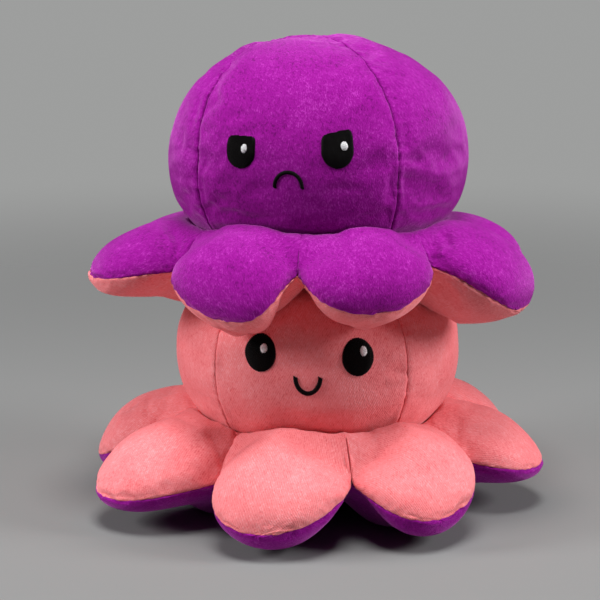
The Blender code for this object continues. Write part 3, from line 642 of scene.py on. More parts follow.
class Cloth:
    """Grids of points welded into one closed skin, which is stuffed and then cut apart again."""

    def __init__(self, grids, folds, firmness=None):
        self.along, self.across = [], []
        self.folds = folds
        from_seam = []
        for index, grid in enumerate(grids):
            along = arc_lengths(grid, 0)
            across = arc_lengths(grid, 1)
            self.along.append(along)
            self.across.append(across - across[:, -1:] / 2)
            left, right = across, across[:, -1:] - across
            if firmness:
                before, after = firmness(index)
                left = left + before(along)
                right = right + after(along)
            from_seam.append(np.minimum(np.minimum(left, right), along[-1:] - along))
        flat = np.concatenate([grid.reshape(-1, 3) for grid in grids])
        keys = np.round(flat / WELD).astype(np.int64)
        _, first, which = np.unique(keys, axis=0, return_index=True, return_inverse=True)
        which = which.reshape(-1)
        self.points = flat[first]
        self.cells, start = [], 0
        for grid in grids:
            count = grid.shape[0] * grid.shape[1]
            self.cells.append(which[start:start + count].reshape(grid.shape[:2]))
            start += count
        self.faces = [face for cells in self.cells for face in self.quads(cells)]
        self.near = np.full(len(self.points), 1.0)
        self.run = np.zeros(len(self.points))
        for cells, seam, along in zip(self.cells, from_seam, self.along):
            np.minimum.at(self.near, cells.ravel(), seam.ravel())
            self.run[cells.ravel()] = along.ravel()

    @staticmethod
    def quads(cells):
        """Faces of a grid of point numbers, with the repeated points of a pole left out."""
        for row in range(cells.shape[0] - 1):
            for column in range(cells.shape[1] - 1):
                corners = (cells[row, column], cells[row, column + 1],
                           cells[row + 1, column + 1], cells[row + 1, column])
                face = list(dict.fromkeys(int(corner) for corner in corners))
                if len(face) > 2:
                    yield face

    def mesh(self):
        """The skin as a mesh with its normals outward."""
        mesh = bpy.data.meshes.new("skin")
        mesh.from_pydata(self.points.tolist(), [], self.faces)
        shape = bmesh.new()
        shape.from_mesh(mesh)
        turn_outward(shape)
        shape.to_mesh(mesh)
        shape.free()
        return mesh

    def normals(self):
        """The outward direction at each point."""
        mesh = self.mesh()
        out = read(mesh.vertex_normals, "vector", 3)
        bpy.data.meshes.remove(mesh)
        return out

    def push(self, amounts):
        """Move each point out along its normal."""
        self.points = self.points + self.normals() * amounts[:, None]

    def draw_in(self, shown, seam_by, beside_by):
        """Draw the cloth in at its seams and beside them, and say how far each point counts as seam."""
        seam, beside = (np.exp(-(self.near / (width * MM)) ** 2) for width, _ in (seam_by, beside_by))
        self.push(shown * (-seam_by[1] * seam - beside_by[1] * beside) * MM)
        return seam

    def stuff(self, pins, cap, frames=20):
        """Blow the skin up as cloth with slack between its pinned seams, and keep each move under a cap."""
        scene = bpy.context.scene
        item = placed("skin", self.mesh())
        group = item.vertex_groups.new(name="sewn")
        for index in np.nonzero(pins > 0)[0]:
            group.add([int(index)], float(pins[index]), "REPLACE")
        cloth = item.modifiers.new("cloth", "CLOTH")
        settings = cloth.settings
        settings.quality = 5
        settings.mass = 0.05
        settings.tension_stiffness = 20
        settings.compression_stiffness = 20
        settings.shear_stiffness = 8
        settings.bending_stiffness = 0.3
        settings.use_pressure = True
        settings.uniform_pressure_force = scene.plush_finish.pressure
        settings.vertex_group_mass = "sewn"
        settings.shrink_min = -scene.plush_finish.slack
        settings.effector_weights.gravity = 0
        cloth.collision_settings.use_collision = False
        cloth.point_cache.frame_start = 1
        cloth.point_cache.frame_end = frames
        for step in range(1, frames + 1):
            scene.frame_set(step)
        evaluated = item.evaluated_get(bpy.context.evaluated_depsgraph_get())
        shift = read(evaluated.data.vertices, "co", 3) - self.points
        scene.frame_set(1)
        mesh = item.data
        bpy.data.objects.remove(item)
        bpy.data.meshes.remove(mesh)
        size = np.linalg.norm(shift, axis=1)
        if not np.isfinite(size).all():
            raise RuntimeError("the cloth simulation failed")
        print(f"stuffed {size.max() / MM:.2f} mm at most, {size.mean() / MM:.2f} on average")
        self.points = self.points + shift * np.minimum(1, cap / np.maximum(size, 1e-9))[:, None]

    def cut(self, index, name, material, levels, seed, gathered, tuck=0.0):
        """One grid as a closed piece: its cloth, and a wall between its sides, tucked down out of sight."""
        cells = self.cells[index]
        rows, columns = cells.shape
        used = np.unique(cells)
        number = {int(old): new for new, old in enumerate(used)}
        shape = bmesh.new()
        crease = shape.edges.layers.float.new("crease_edge")
        layer = shape.loops.layers.uv.new("cloth")
        near = shape.verts.layers.float.new("near")
        run = shape.verts.layers.float.new("run")
        verts = []
        for old in used:
            vert = shape.verts.new(self.points[old])
            vert[near] = self.near[old]
            vert[run] = self.run[old]
            verts.append(vert)
        wall = np.stack([cells[:, -1], cells[:, -1], cells[:, 0]], axis=1)
        for row in range(rows):
            if cells[row, 0] != cells[row, -1]:
                between = (self.points[cells[row, 0]] + self.points[cells[row, -1]]) / 2
                between[2] -= tuck * max(0, 1 - (row / SKIRT_ROWS) ** 3)
                wall[row, 1] = len(self.points) + row
                number[len(self.points) + row] = len(verts)
                verts.append(shape.verts.new(between))
        spot = {}
        for row in range(rows):
            for column in range(columns):
                spot.setdefault(int(cells[row, column]),
                                (self.across[index][row, column], self.along[index][row, column]))
        for face in self.quads(cells):
            made = shape.faces.new([verts[number[corner]] for corner in face])
            made.smooth = True
            for loop, corner in zip(made.loops, face):
                loop[layer].uv = spot[corner]
        rim = [edge for edge in shape.edges if edge.is_boundary]
        for face in self.quads(wall):
            shape.faces.new([verts[number[corner]] for corner in face])
        start = list(dict.fromkeys(int(corner) for corner in [*cells[0], wall[0, 1]]))
        shape.faces.new([verts[number[corner]] for corner in reversed(start)])
        for edge in rim:
            edge[crease] = 1
            edge.smooth = False
        turn_outward(shape)
        item = formed(name, shape, material)
        finer = item.modifiers.new("finer", "SUBSURF")
        finer.levels = finer.render_levels = levels
        settle(item)
        self.detail(item.data, seed, gathered)
        return item

    def detail(self, mesh, seed, gathered):
        """Roll the cloth over at its seams, gather it beside them and press its folds in."""
        points = read(mesh.vertices, "co", 3)
        near, run = (read(mesh.attributes[name].data, "value") for name in ("near", "run"))
        shown = smoothstep(near, *SEAM_EDGE)
        roll = ROLL[0] * np.exp(-near / ROLL[1])
        gather = gathered * np.exp(-near / GATHER_REACH) * np.maximum(GATHER_DIP, ripple(run, seed))
        rise = shown * (roll + gather - folded(points, self.folds))
        points = points + cloth_normals(mesh) * rise[:, None]
        mesh.vertices.foreach_set("co", points.ravel())
        for name in ("near", "run"):
            mesh.attributes.remove(mesh.attributes[name])
        mesh.update()


# Materials

class Nodes:
    """Short words for a material's nodes."""

    def __init__(self, name):
        self.material = bpy.data.materials.new(name)
        self.material.use_nodes = True
        self.tree = self.material.node_tree
        self.shader = self.tree.nodes["Principled BSDF"]

    def add(self, kind, values=None, **links):
        """A node with plain values and links to its sockets."""
        node = self.tree.nodes.new(kind)
        for key, value in (values or {}).items():
            if key in node.inputs:
                node.inputs[key].default_value = value
            else:
                setattr(node, key, value)
        for key, source in links.items():
            target = node.inputs[int(key[1:])] if key[0] == "i" and key[1:].isdigit() else node.inputs[key]
            self.tree.links.new(source, target)
        return node

    def noise(self, place, scale, detail=2.0, roughness=0.5, distortion=0.0):
        """Noise at a place, from 0 to 1."""
        node = self.add("ShaderNodeTexNoise", {"Scale": scale, "Detail": detail, "Roughness": roughness,
                                               "Distortion": distortion}, Vector=place)
        return node.outputs["Fac"]

    def scaled(self, place, scale):
        """A place stretched along its axes."""
        node = self.add("ShaderNodeMapping", {"Scale": scale}, Vector=place)
        return node.outputs["Vector"]

    def blend(self, first, second, share):
        """A weighted sum of two numbers."""
        node = self.add("ShaderNodeMix", {"data_type": "FLOAT", "Factor": share}, i2=first, i3=second)
        return node.outputs[0]

    def link(self, source, socket):
        """A shader's socket, fed."""
        self.tree.links.new(source, self.shader.inputs[socket])

    def coloured(self, tone, stops, change="LINEAR"):
        """Base colours by tone, each with its place."""
        node = self.add("ShaderNodeValToRGB", {}, Fac=tone)
        ramp = node.color_ramp
        ramp.interpolation = change
        for end, stop in zip(ramp.elements, (stops[0], stops[-1])):
            end.position, end.color = stop[0], (*stop[1], 1)
        for place, shade in stops[1:-1]:
            ramp.elements.new(place).color = (*shade, 1)
        self.link(node.outputs["Color"], "Base Color")

    def raised(self, height, strength, depth):
        """A surface bumped by a height."""
        node = self.add("ShaderNodeBump", {"Strength": strength, "Distance": depth}, Height=height)
        self.link(node.outputs["Normal"], "Normal")

    def even(self, **values):
        """The shader's plain values."""
        for key, value in values.items():
            self.shader.inputs[key.replace("_", " ")].default_value = value


def plush(name, deep, middle, pale, sheen, seed, ribs):
    """Short pile: clumps that lie along the cloth, brushed patches, fine ribs and a soft shine."""
    nodes = Nodes(name)
    place = nodes.add("ShaderNodeTexCoord").outputs["Object"]
    cloth = nodes.add("ShaderNodeUVMap", {"uv_map": "cloth"}).outputs["UV"]
    strands = nodes.noise(nodes.scaled(cloth, (2300, 900, 1)), 1, 2, 0.6, 0.4)
    clumps = nodes.noise(nodes.scaled(cloth, (750, 460, 1)), 1, 3, 0.6, 0.8)
    shifted = nodes.add("ShaderNodeMapping", {"Location": (seed, seed * 2.3, seed * 0.7)}, Vector=place)
    patches = nodes.blend(nodes.noise(shifted.outputs["Vector"], 42, 3, 0.5, 1.0),
                          nodes.noise(nodes.scaled(cloth, (240, 115, 1)), 1, 2, 0.5, 1.5), 0.35)
    slanted = nodes.add("ShaderNodeMapping", {"Rotation": (0, 0, math.radians(28))}, Vector=cloth)
    wave = nodes.add("ShaderNodeTexWave", {"Scale": 350, "Distortion": 2.0, "Detail": 1.0,
                                           "Detail Scale": 0.6}, Vector=slanted.outputs["Vector"])
    fine = nodes.blend(nodes.blend(clumps, strands, 0.5), wave.outputs["Fac"], ribs)
    nodes.coloured(nodes.blend(fine, patches, 0.3), ((0.32, deep), (0.50, middle), (0.68, pale)), "EASE")
    nodes.raised(fine, 0.6, 0.8 * MM)
    nodes.even(Roughness=0.85, Specular_IOR_Level=0.05, Sheen_Weight=0.5, Sheen_Roughness=0.4,
               Sheen_Tint=(*sheen, 1))
    return nodes.material


def floss(name, shade, gleam, rise):
    """Embroidery thread: a satin gloss along its twist."""
    nodes = Nodes(name)
    place = nodes.add("ShaderNodeTexCoord").outputs["Object"]
    twist = nodes.noise(nodes.scaled(place, (1500, 1500, 3600)), 1, 2, 0.5, 0.3)
    nodes.coloured(twist, ((0.3, [part * 0.55 for part in shade]),
                           (0.7, [min(1, part * rise) for part in shade])))
    nodes.raised(twist, 0.4, 0.2 * MM)
    nodes.even(Roughness=gleam, Specular_IOR_Level=0.06)
    return nodes.material


def studio_floor(name, shade):
    """A plain matt floor, brighter to the light that it throws back, that melts into the background."""
    nodes = Nodes(name)
    seen = nodes.add("ShaderNodeLightPath").outputs["Is Camera Ray"]
    tint = nodes.add("ShaderNodeMix", {"data_type": "RGBA"}, Factor=seen)
    tint.inputs[6].default_value = (*[part * 1.2 for part in shade], 1)
    tint.inputs[7].default_value = (*shade, 1)
    nodes.link(tint.outputs[2], "Base Color")
    place = nodes.add("ShaderNodeTexCoord").outputs["Object"]
    away = nodes.add("ShaderNodeVectorMath", {"operation": "LENGTH"}, Vector=place).outputs["Value"]
    end = nodes.add("ShaderNodeMapRange", {"interpolation_type": "SMOOTHSTEP", "From Min": 0.25,
                                           "From Max": 1.0, "To Min": 1.0, "To Max": 0.0}, Value=away)
    nodes.link(end.outputs["Result"], "Alpha")
    nodes.even(Roughness=0.9, Specular_IOR_Level=0.1)
    return nodes.material


def finish_of(slot):
    """The material of a slot, made once."""
    found = bpy.data.materials.get(slot + "_finish")
    if found:
        return found
    finish = bpy.context.scene.plush_finish
    name = slot + "_finish"
    if slot == "pink_plush":
        return plush(name, finish.pink_deep, finish.pink, finish.pink_pale, (1.0, 0.50, 0.53), 1.0, 0.10)
    if slot == "purple_plush":
        return plush(name, finish.purple_deep, finish.purple, finish.purple_pale,
                     (0.95, 0.30, 0.90), 2.0, 0.0)
    if slot == "black_thread":
        return floss(name, finish.black, 0.55, 2.2)
    return floss(name, finish.white, 0.35, 1.25)


# Threads

def thread_tree():
    """Geometry nodes that lay a round thread along every edge line."""
    found = bpy.data.node_groups.get("laid_thread")
    if found:
        return found
    tree = bpy.data.node_groups.new("laid_thread", "GeometryNodeTree")
    for name, kind in (("Geometry", "Geometry"), ("Thread radius", "Float"), ("Sides", "Int"),
                       ("Thread", "Material")):
        tree.interface.new_socket(name, in_out="INPUT", socket_type="NodeSocket" + kind)
    tree.interface.new_socket("Geometry", in_out="OUTPUT", socket_type="NodeSocketGeometry")
    given, result, line, circle, tube, smooth, real, paint = (tree.nodes.new(kind) for kind in (
        "NodeGroupInput", "NodeGroupOutput", "GeometryNodeMeshToCurve", "GeometryNodeCurvePrimitiveCircle",
        "GeometryNodeCurveToMesh", "GeometryNodeSetShadeSmooth", "GeometryNodeRealizeInstances",
        "GeometryNodeSetMaterial"))
    tube.inputs["Fill Caps"].default_value = True
    for start, out, end, into in (
            (given, "Geometry", line, "Mesh"), (given, "Thread radius", circle, "Radius"),
            (given, "Sides", circle, "Resolution"), (line, "Curve", tube, "Curve"),
            (circle, "Curve", tube, "Profile Curve"), (tube, "Mesh", smooth, "Geometry"),
            (smooth, "Geometry", real, "Geometry"), (real, "Geometry", paint, "Geometry"),
            (given, "Thread", paint, "Material"), (paint, "Geometry", result, "Geometry")):
        tree.links.new(start.outputs[out], end.inputs[into])
    return tree


def laid_threads(name, lines, radius, material, sides=6):
    """Threads along lines of points, as one plain mesh."""
    points = [point for line in lines for point in line]
    edges, start = [], 0
    for line in lines:
        edges += [(start + step, start + step + 1) for step in range(len(line) - 1)]
        start += len(line)
    mesh = bpy.data.meshes.new(name)
    mesh.from_pydata(points, edges, [])
    item = placed(name, mesh)
    tree = thread_tree()
    modifier = item.modifiers.new("threads", "NODES")
    modifier.node_group = tree
    values = {"Thread radius": radius, "Sides": sides, "Thread": material}
    for socket in tree.interface.items_tree:
        if socket.in_out == "INPUT" and socket.name in values:
            modifier[socket.identifier] = values[socket.name]
    settle(item)
    return item


# Building

def toys():
    """Both toys' shapes, from the settings."""
    scene = bpy.context.scene
    lower = Toy("lower", scene.plush_lower, "pink_plush", "purple_plush")
    upper = Toy("upper", scene.plush_upper, "purple_plush", "pink_plush", lower)
    return {"lower": lower, "upper": upper}


def sewn_head(toy):
    """The four gores of a head, stuffed and cut apart."""
    cloth = Cloth([toy.gore(index) for index in range(4)], FOLDS[f"{toy.name}_gore"])
    neck = list(dict.fromkeys(int(cell) for cells in cloth.cells for cell in cells[0]))
    cloth.faces.append(neck)
    shown = smoothstep(cloth.points[:, 2] - toy.neck_rise, *HEAD_FREE)
    if not toy.seat:
        shown = shown * smoothstep(np.hypot(cloth.points[:, 0], cloth.points[:, 1]), *CROWN_FREE)
    seam = cloth.draw_in(shown, *HEAD_SEAM)
    before = cloth.points.copy()
    pins = np.where(cloth.near < SEAM_NEAR, 1.0, 0.0)
    for cells in cloth.cells:
        pins[cells[0]] = 1
    cloth.stuff(pins, HEAD_BULGE)
    shift = cloth.points - before
    if not toy.seat:
        for cells in cloth.cells:
            shift[cells] = softened(shift[cells])
    cloth.points = before + shift * shown[:, None]
    soft = lumps(cloth.points, HEAD_LUMPS, 2 if toy.seat else 7) * LUMPINESS
    cloth.push(soft * shown * (1 - seam))
    cloth.points[:, 2] += toy.base
    cloth.push(-shown * folded(cloth.points, DENTS[f"{toy.name}_gore"]))
    return cloth


def valley_firmness(toy):
    """How far each side of a grid counts as being from a seam, more where its fold is soft."""
    def firmness(index):
        arm = index % TENTACLES
        return [lambda along, soft=1 - share: soft * np.maximum(0, SOFT_VALLEY - along) * SOFT_VALLEY_PULL
                for share in (toy.valley_folds[arm - 1], toy.valley_folds[arm])]
    return firmness


def sewn_ring(toy):
    """Eight tentacles with their skirt, stuffed and cut into upper and lower cloths."""
    grids = [toy.sector(arm, top) for top in (True, False) for arm in range(TENTACLES)]
    cloth = Cloth(grids, FOLDS[f"{toy.name}_arm"], valley_firmness(toy))
    tops, seams = np.zeros(len(cloth.points), bool), np.zeros(len(cloth.points), bool)
    valleys = np.zeros(len(cloth.points))
    for arm in range(TENTACLES):
        upper, under = cloth.cells[arm], cloth.cells[arm + TENTACLES]
        cloth.faces += list(cloth.quads(np.stack([upper[0], under[0]])))
        tops[upper.ravel()] = True
        seams[np.intersect1d(upper, under)] = True
        for cells in (upper, under):
            valleys[cells[:, -1]] = min(1, VALLEY_HOLD * toy.valley_folds[arm])
    shown = smoothstep(np.hypot(cloth.points[:, 0], cloth.points[:, 1]), *RING_FREE)
    seam = cloth.draw_in(shown, *RING_SEAM)
    before = cloth.points.copy()
    pins = np.where(seams, 1.0, valleys)
    for cells in cloth.cells:
        pins[cells[0]] = 1
    cloth.stuff(pins, RING_BULGE)
    cloth.points = before + (cloth.points - before) * shown[:, None]
    soft = lumps(cloth.points, RING_LUMPS, 11 if toy.seat else 13) * LUMPINESS
    cloth.push(soft * shown * (1 - seam))
    cloth.push(-shown * folded(cloth.points + [0, 0, toy.base], DENTS[f"{toy.name}_arm"]))
    cloth.points[tops] = toy.kept_clear(cloth.points[tops], True)
    cloth.points[~tops] = toy.kept_clear(cloth.points[~tops], False)
    cloth.points[:, 2] += toy.base
    return cloth


def pocket_lining(toy):
    """The other head, turned in through the underside: slack cloth with folds."""
    steps, levels = 96, 26
    outline = []
    for index in range(levels + 1):
        level = math.pi / 2 * (1 - index / levels)
        outline.append((toy.waist * max(0, math.cos(level)) ** (2 / FULLNESS),
                        toy.neck_rise + POCKET_HEIGHT * math.sin(level) ** (2 / FULLNESS)))
    for index in range(1, 9):
        height = toy.neck_rise - (toy.neck_rise + toy.mouth_drop) * index / 8
        outline.append((toy.throat_radius(height), height))
    shape = bmesh.new()
    rings = []
    layer = shape.loops.layers.uv.new("cloth")
    for row, (radius, height) in enumerate(outline):
        ring = []
        for step in range(steps):
            azimuth = step * 2 * math.pi / steps
            fold = math.sin(9 * azimuth + 1.3 * math.sin(2 * azimuth)) + 0.5 * math.sin(17 * azimuth + 2)
            fade = min(1, radius / toy.waist) * (1 - row / (len(outline) - 1)) ** 0.5
            inward = max(0, 0.6 + fold) * 1.1 * MM * fade
            ring.append(Vector(points_at(azimuth + toy.facing, max(0, radius - inward), height + toy.base)))
        rings.append(ring)
    top = shape.verts.new(sum(rings[0], Vector()) / steps)
    loops = [[shape.verts.new(point) for point in ring] for ring in rings[1:]]
    vaulted(shape, top, loops)
    for face in shape.faces:
        for loop in face.loops:
            angle = math.atan2(loop.vert.co.x, -loop.vert.co.y)
            loop[layer].uv = (angle * toy.waist, loop.vert.co.z)
    bmesh.ops.recalc_face_normals(shape, faces=shape.faces)
    if shape.faces[:][0].normal.z > 0:
        bmesh.ops.reverse_faces(shape, faces=shape.faces)
    item = formed(f"{toy.name}_pocket_cloth", shape, finish_of(toy.inside))
    thick = item.modifiers.new("thickness", "SOLIDIFY")
    thick.thickness = FABRIC
    thick.offset = -1
    settle(item)
    return item


def surface_of(toy):
    """The head's finished surface, to lay embroidery on."""
    points, faces = [], []
    for side in SIDES:
        mesh = bpy.data.objects[f"{toy.name}_gore_{side}"].data
        start = len(points)
        points += [vert.co.copy() for vert in mesh.vertices]
        faces += [[start + index for index in face.vertices] for face in mesh.polygons]
    return BVHTree.FromPolygons(points, faces)


def laid_on(toy, tree, aside, up, lift):
    """A point at a lift over the face's cloth."""
    place, out = toy.face_point(aside, up)
    hit = tree.ray_cast(place + out * 0.01, -out, 0.03)[0]
    return (place if hit is None else hit) + out * lift


def eye_edge(angle, width, height, square, slope):
    """A point of an eye's outline: round below, and as square above as the exponent says."""
    power = square if math.sin(angle) > 0 else 2
    aside = math.copysign(abs(math.cos(angle)) ** (2 / power), math.cos(angle)) * width / 2
    up = math.copysign(abs(math.sin(angle)) ** (2 / power), math.sin(angle)) * height / 2
    return aside, up + max(0, up) / (height / 2) * aside * slope


def stitched_pad(toy, tree, name, middle, size, thickness, tilt, material, square=2, slope=0.0):
    """A padded satin patch: a domed pad, and threads laid side by side across it."""
    ring, levels = 48, 7
    shape = bmesh.new()
    rings = []
    for level in range(1, levels + 1):
        share = math.sin(math.pi / 2 * level / levels)
        lift = thickness * math.sqrt(max(0, 1 - share * share)) ** 0.6
        loop = []
        for step in range(ring):
            aside, up = eye_edge(2 * math.pi * step / ring, *size, square, slope)
            loop.append(shape.verts.new(laid_on(toy, tree, middle[0] + aside * share, middle[1] + up * share,
                                                lift if level < levels else -THREAD_END)))
        rings.append(loop)
    top = shape.verts.new(laid_on(toy, tree, *middle, thickness))
    below = shape.verts.new(laid_on(toy, tree, *middle, -0.5 * MM))
    vaulted(shape, top, rings)
    for step in range(ring):
        shape.faces.new((below, rings[-1][(step + 1) % ring], rings[-1][step])).smooth = True
    turn_outward(shape)
    outline = [Vector(eye_edge(2 * math.pi * step / 180, *size, square, slope)) for step in range(180)]
    along = Vector((math.cos(tilt), math.sin(tilt)))
    across = Vector((-along.y, along.x))
    low = min(point.dot(across) for point in outline)
    high = max(point.dot(across) for point in outline)
    lines = []
    count = int((high - low) / THREAD_PITCH)
    for row in range(count + 1):
        offset = low + (high - low) * (row + 0.5) / (count + 1)
        hits = []
        for first, second in zip(outline, outline[1:] + outline[:1]):
            one, two = first.dot(across) - offset, second.dot(across) - offset
            if one * two <= 0 and one != two:
                hits.append((first + (second - first) * one / (one - two)).dot(along))
        if len(hits) < 2:
            continue
        ends = (min(hits) - 0.15 * MM, max(hits) + 0.15 * MM)
        line = []
        for step in range(9):
            share = -1 + 2 * step / 8
            reach = (ends[0] + ends[1]) / 2 + (ends[1] - ends[0]) / 2 * share
            spot = along * reach + across * offset
            depth = math.sqrt(max(0, 1 - share * share)) ** 0.6
            edge = 1 - abs(2 * (offset - low) / (high - low) - 1) ** 3
            lift = thickness * depth * edge ** 0.5 + (0.12 * MM if 0 < step < 8 else -THREAD_END)
            line.append(laid_on(toy, tree, middle[0] + spot.x, middle[1] + spot.y, lift))
        lines.append(line)
    threads = laid_threads(name + "_threads", lines, bpy.context.scene.plush_finish.thread, material)
    shape.from_mesh(threads.data)
    bpy.data.objects.remove(threads)
    return formed(name, shape, material)


class ToyOperator:
    """What the operators for one toy share."""

    bl_options = {"REGISTER", "UNDO"}
    toy: EnumProperty(name="Toy", description="Which toy is sewn",
                      items=[("lower", "Lower", "The pink toy"), ("upper", "Upper", "The purple toy")])


class PLUSH_OT_head(ToyOperator, bpy.types.Operator):
    """Sew and stuff the four gores of a head"""

    bl_idname = "plush.head"
    bl_label = "Head gores"

    def execute(self, context):
        toy = toys()[self.toy]
        cloth = sewn_head(toy)
        for index, side in enumerate(SIDES):
            item = cloth.cut(index, f"{toy.name}_gore_{side}", finish_of(toy.outside), FINER,
                             3 if toy.seat else 5, FRONT_GATHERS if side == "front" else GORE_GATHERS)
            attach(item, f"{toy.name}_toy")
            nodes = [f"{toy.name}_head_panel_{side}"]
            if side == "front":
                nodes.append(f"{toy.name}_head_filling")
            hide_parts(*nodes)
        return {"FINISHED"}


class PLUSH_OT_tentacles(ToyOperator, bpy.types.Operator):
    """Sew and stuff the eight tentacles with their skirt"""

    bl_idname = "plush.tentacles"
    bl_label = "Tentacles"

    def execute(self, context):
        toy = toys()[self.toy]
        cloth = sewn_ring(toy)
        for top in (True, False):
            half, slot = ("top", toy.outside) if top else ("under", toy.inside)
            for arm in range(TENTACLES):
                index = arm if top else arm + TENTACLES
                item = cloth.cut(index, f"{toy.name}_arm_{arm + 1}_{half}", finish_of(slot),
                                 FINER if top else 1, 2 if toy.seat else 9, RING_GATHERS,
                                 TUCK_TOP if top else TUCK_UNDER)
                azimuth = toy.first_arm + arm * 2 * HALF_SECTOR
                start = points_at(azimuth, VALLEY_RADIUS * math.cos(HALF_SECTOR) + BEND_START, toy.base)
                end = points_at(azimuth, BEND_END, toy.base)
                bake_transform(item)
                nodes = [f"{toy.name}_tentacle_{arm + 1}_{half}", f"{toy.name}_skirt_{half}"]
                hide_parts(*nodes)
        return {"FINISHED"}


class PLUSH_OT_pocket(ToyOperator, bpy.types.Operator):
    """Line the pocket with the head that is turned in"""

    bl_idname = "plush.pocket"
    bl_label = "Pocket lining"

    def execute(self, context):
        toy = toys()[self.toy]
        item = pocket_lining(toy)
        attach(item, f"{toy.name}_toy")
        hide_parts(f"{toy.name}_pocket_lining")
        return {"FINISHED"}


class PLUSH_OT_happy_face(bpy.types.Operator):
    """Embroider the smiling face on the pink head"""

    bl_idname = "plush.happy_face"
    bl_label = "Happy face"

    def execute(self, context):
        toy = toys()["lower"]
        embroider(toy, "left", (-21.7, 8.7), (13.6, 16.2), (1.9, 2.2), (3.0, 4.0))
        embroider(toy, "right", (21.1, 7.6), (13.6, 16.3), (2.1, 2.6), (3.0, 4.2))
        stitched_mouth(toy, 10.8 * MM, 7.0 * MM, 4.6 * MM, 1.9 * MM, -1, -0.6 * MM)
        return {"FINISHED"}


class PLUSH_OT_grumpy_face(bpy.types.Operator):
    """Embroider the frowning face on the purple head"""

    bl_idname = "plush.grumpy_face"
    bl_label = "Grumpy face"

    def execute(self, context):
        toy = toys()["upper"]
        embroider(toy, "left", (-21.9, 9.4), (12.5, 13.2), (2.0, 1.5), (2.4, 3.6), 6, 0.0)
        embroider(toy, "right", (18.9, 11.2), (13.1, 14.8), (2.7, 1.6), (2.9, 3.6), 6, 0.2)
        stitched_mouth(toy, 11.6 * MM, 6.4 * MM, 1.2 * MM, 1.5 * MM, 1, -1.3 * MM)
        return {"FINISHED"}


def embroider(toy, side, middle, size, glint, glint_size, square=2, slope=0.0):
    """An eye and its glint, from the eye's middle on the face and the glint's place in it, in mm."""
    tree = surface_of(toy)
    middle = (middle[0] * MM, middle[1] * MM)
    node = f"{toy.name}_eye_{side}"
    eye = stitched_pad(toy, tree, f"{node}_satin", middle, (size[0] * MM, size[1] * MM), 0.8 * MM,
                       0.12, finish_of("black_thread"), square, slope)
    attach(eye, f"{toy.name}_toy")
    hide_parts(node)
    spot = (middle[0] + glint[0] * MM, middle[1] + glint[1] * MM)
    shine = stitched_pad(toy, tree, f"{node}_glint_satin", spot, (glint_size[0] * MM, glint_size[1] * MM),
                         1.5 * MM, 0.5, finish_of("white_thread"))
    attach(shine, f"{toy.name}_toy")
    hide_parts(f"{node}_glint")


def stitched_mouth(toy, width, height, drop, line, bend, shift):
    """A mouth of short slanted satin stitches along half an oval."""
    tree = surface_of(toy)
    lines = []
    count = 56
    for step in range(count + 1):
        angle = math.pi * step / count
        spot = Vector((shift - math.cos(angle) * width / 2, -drop + bend * (math.sin(angle) - 0.5) * height))
        ahead = Vector((math.sin(angle) * width / 2, bend * math.cos(angle) * height)).normalized()
        side = Vector((-ahead.y, ahead.x)) * 0.9 + ahead * 0.45
        side.normalize()
        stitch = []
        for part in range(5):
            share = -1 + part / 2
            place = spot + side * share * line / 2
            lift = 0.55 * MM * math.sqrt(max(0, 1 - share * share))
            lift += 0.05 * MM if 0 < part < 4 else -THREAD_END
            stitch.append(laid_on(toy, tree, place.x, place.y, lift))
        lines.append(stitch)
    item = laid_threads(f"{toy.name}_mouth_satin", lines, bpy.context.scene.plush_finish.thread * 1.2,
                        finish_of("black_thread"))
    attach(item, f"{toy.name}_toy")
    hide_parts(f"{toy.name}_mouth")


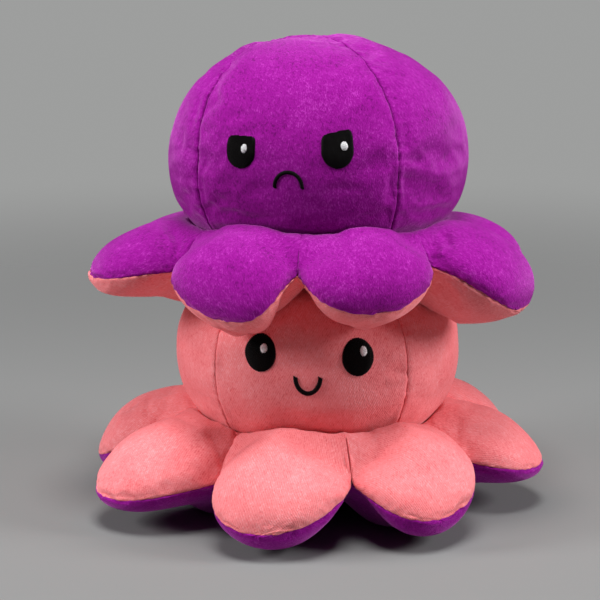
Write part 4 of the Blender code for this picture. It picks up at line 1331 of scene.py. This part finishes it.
class PLUSH_OT_stage(bpy.types.Operator):
    """Set the floor, the lamps and the camera"""

    bl_idname = "plush.stage"
    bl_label = "Stage"

    def execute(self, context):
        scene = context.scene
        stage = scene.plush_stage
        mesh = bpy.data.meshes.new("floor")
        half = 1.1
        mesh.from_pydata([(-half, -half, 0), (half, -half, 0), (half, half, 0), (-half, half, 0)], [],
                         [(0, 1, 2, 3)])
        floor = placed("floor", mesh, studio_floor("floor_finish", stage.floor))
        world = bpy.data.worlds.new("studio")
        world.use_nodes = True
        sky = world.node_tree.nodes["Background"]
        sky.inputs["Color"].default_value = (1, 1.01, 1, 1)
        eye = world.node_tree.nodes.new("ShaderNodeLightPath")
        strength = world.node_tree.nodes.new("ShaderNodeMapRange")
        strength.inputs["To Min"].default_value = stage.fill
        strength.inputs["To Max"].default_value = stage.backdrop
        world.node_tree.links.new(eye.outputs["Is Camera Ray"], strength.inputs["Value"])
        world.node_tree.links.new(strength.outputs["Result"], sky.inputs["Strength"])
        scene.world = world
        for name, place, size, power in (
                ("top_softbox", (0.0, -0.28, 1.24), 0.6, stage.top),
                ("left_softbox", (-1.0, -0.2, 0.55), 0.4, stage.left),
                ("right_softbox", (1.0, -0.2, 0.55), 0.4, stage.right)):
            lamp = bpy.data.lights.new(name, "AREA")
            lamp.shape = "DISK"
            lamp.size = size
            lamp.energy = power
            item = bpy.data.objects.new(name, lamp)
            item.location = place
            item.rotation_euler = (Vector((0, 0, 0.1)) - Vector(place)).to_track_quat("-Z", "Y").to_euler()
            scene.collection.objects.link(item)
        lens = bpy.data.cameras.new("camera")
        lens.lens = stage.lens
        lens.sensor_width = 36
        camera = bpy.data.objects.new("camera", lens)
        camera.location = stage.camera
        camera.rotation_euler = (math.pi / 2 - stage.dip, 0, 0)
        scene.collection.objects.link(camera)
        scene.camera = camera
        scene.view_settings.view_transform = "Standard"
        return {"FINISHED"}


class PLUSH_PT_panel(bpy.types.Panel):
    """The toys' pieces and sizes."""

    bl_label = "Plush octopus pair"
    bl_idname = "PLUSH_PT_panel"
    bl_space_type = "VIEW_3D"
    bl_region_type = "UI"
    bl_category = "Plush"

    def draw(self, context):
        for settings in (context.scene.plush_lower, context.scene.plush_upper, context.scene.plush_finish,
                         context.scene.plush_stage):
            column = self.layout.column(align=True)
            for key in type(settings).__annotations__:
                column.prop(settings, key)
        for toy in ("lower", "upper"):
            for name in ("head", "tentacles", "pocket"):
                self.layout.operator(f"plush.{name}").toy = toy
        for name in ("happy_face", "grumpy_face", "stage"):
            self.layout.operator(f"plush.{name}")


CLASSES = (LowerToySizes, UpperToySizes, Finish, StageSizes, PLUSH_OT_head, PLUSH_OT_tentacles,
           PLUSH_OT_pocket, PLUSH_OT_happy_face, PLUSH_OT_grumpy_face, PLUSH_OT_stage, PLUSH_PT_panel)


def register():
    for item in CLASSES:
        bpy.utils.register_class(item)
    bpy.types.Scene.plush_lower = PointerProperty(type=LowerToySizes)
    bpy.types.Scene.plush_upper = PointerProperty(type=UpperToySizes)
    bpy.types.Scene.plush_finish = PointerProperty(type=Finish)
    bpy.types.Scene.plush_stage = PointerProperty(type=StageSizes)


def unregister():
    for name in ("plush_lower", "plush_upper", "plush_finish", "plush_stage"):
        delattr(bpy.types.Scene, name)
    for item in reversed(CLASSES):
        bpy.utils.unregister_class(item)


def main():
    register()
    bpy.ops.plush.stage()
    for toy in ("lower", "upper"):
        bpy.ops.plush.head(toy=toy)
        bpy.ops.plush.tentacles(toy=toy)
        bpy.ops.plush.pocket(toy=toy)
    bpy.ops.plush.happy_face()
    bpy.ops.plush.grumpy_face()


if __name__ == "__main__":
    main()
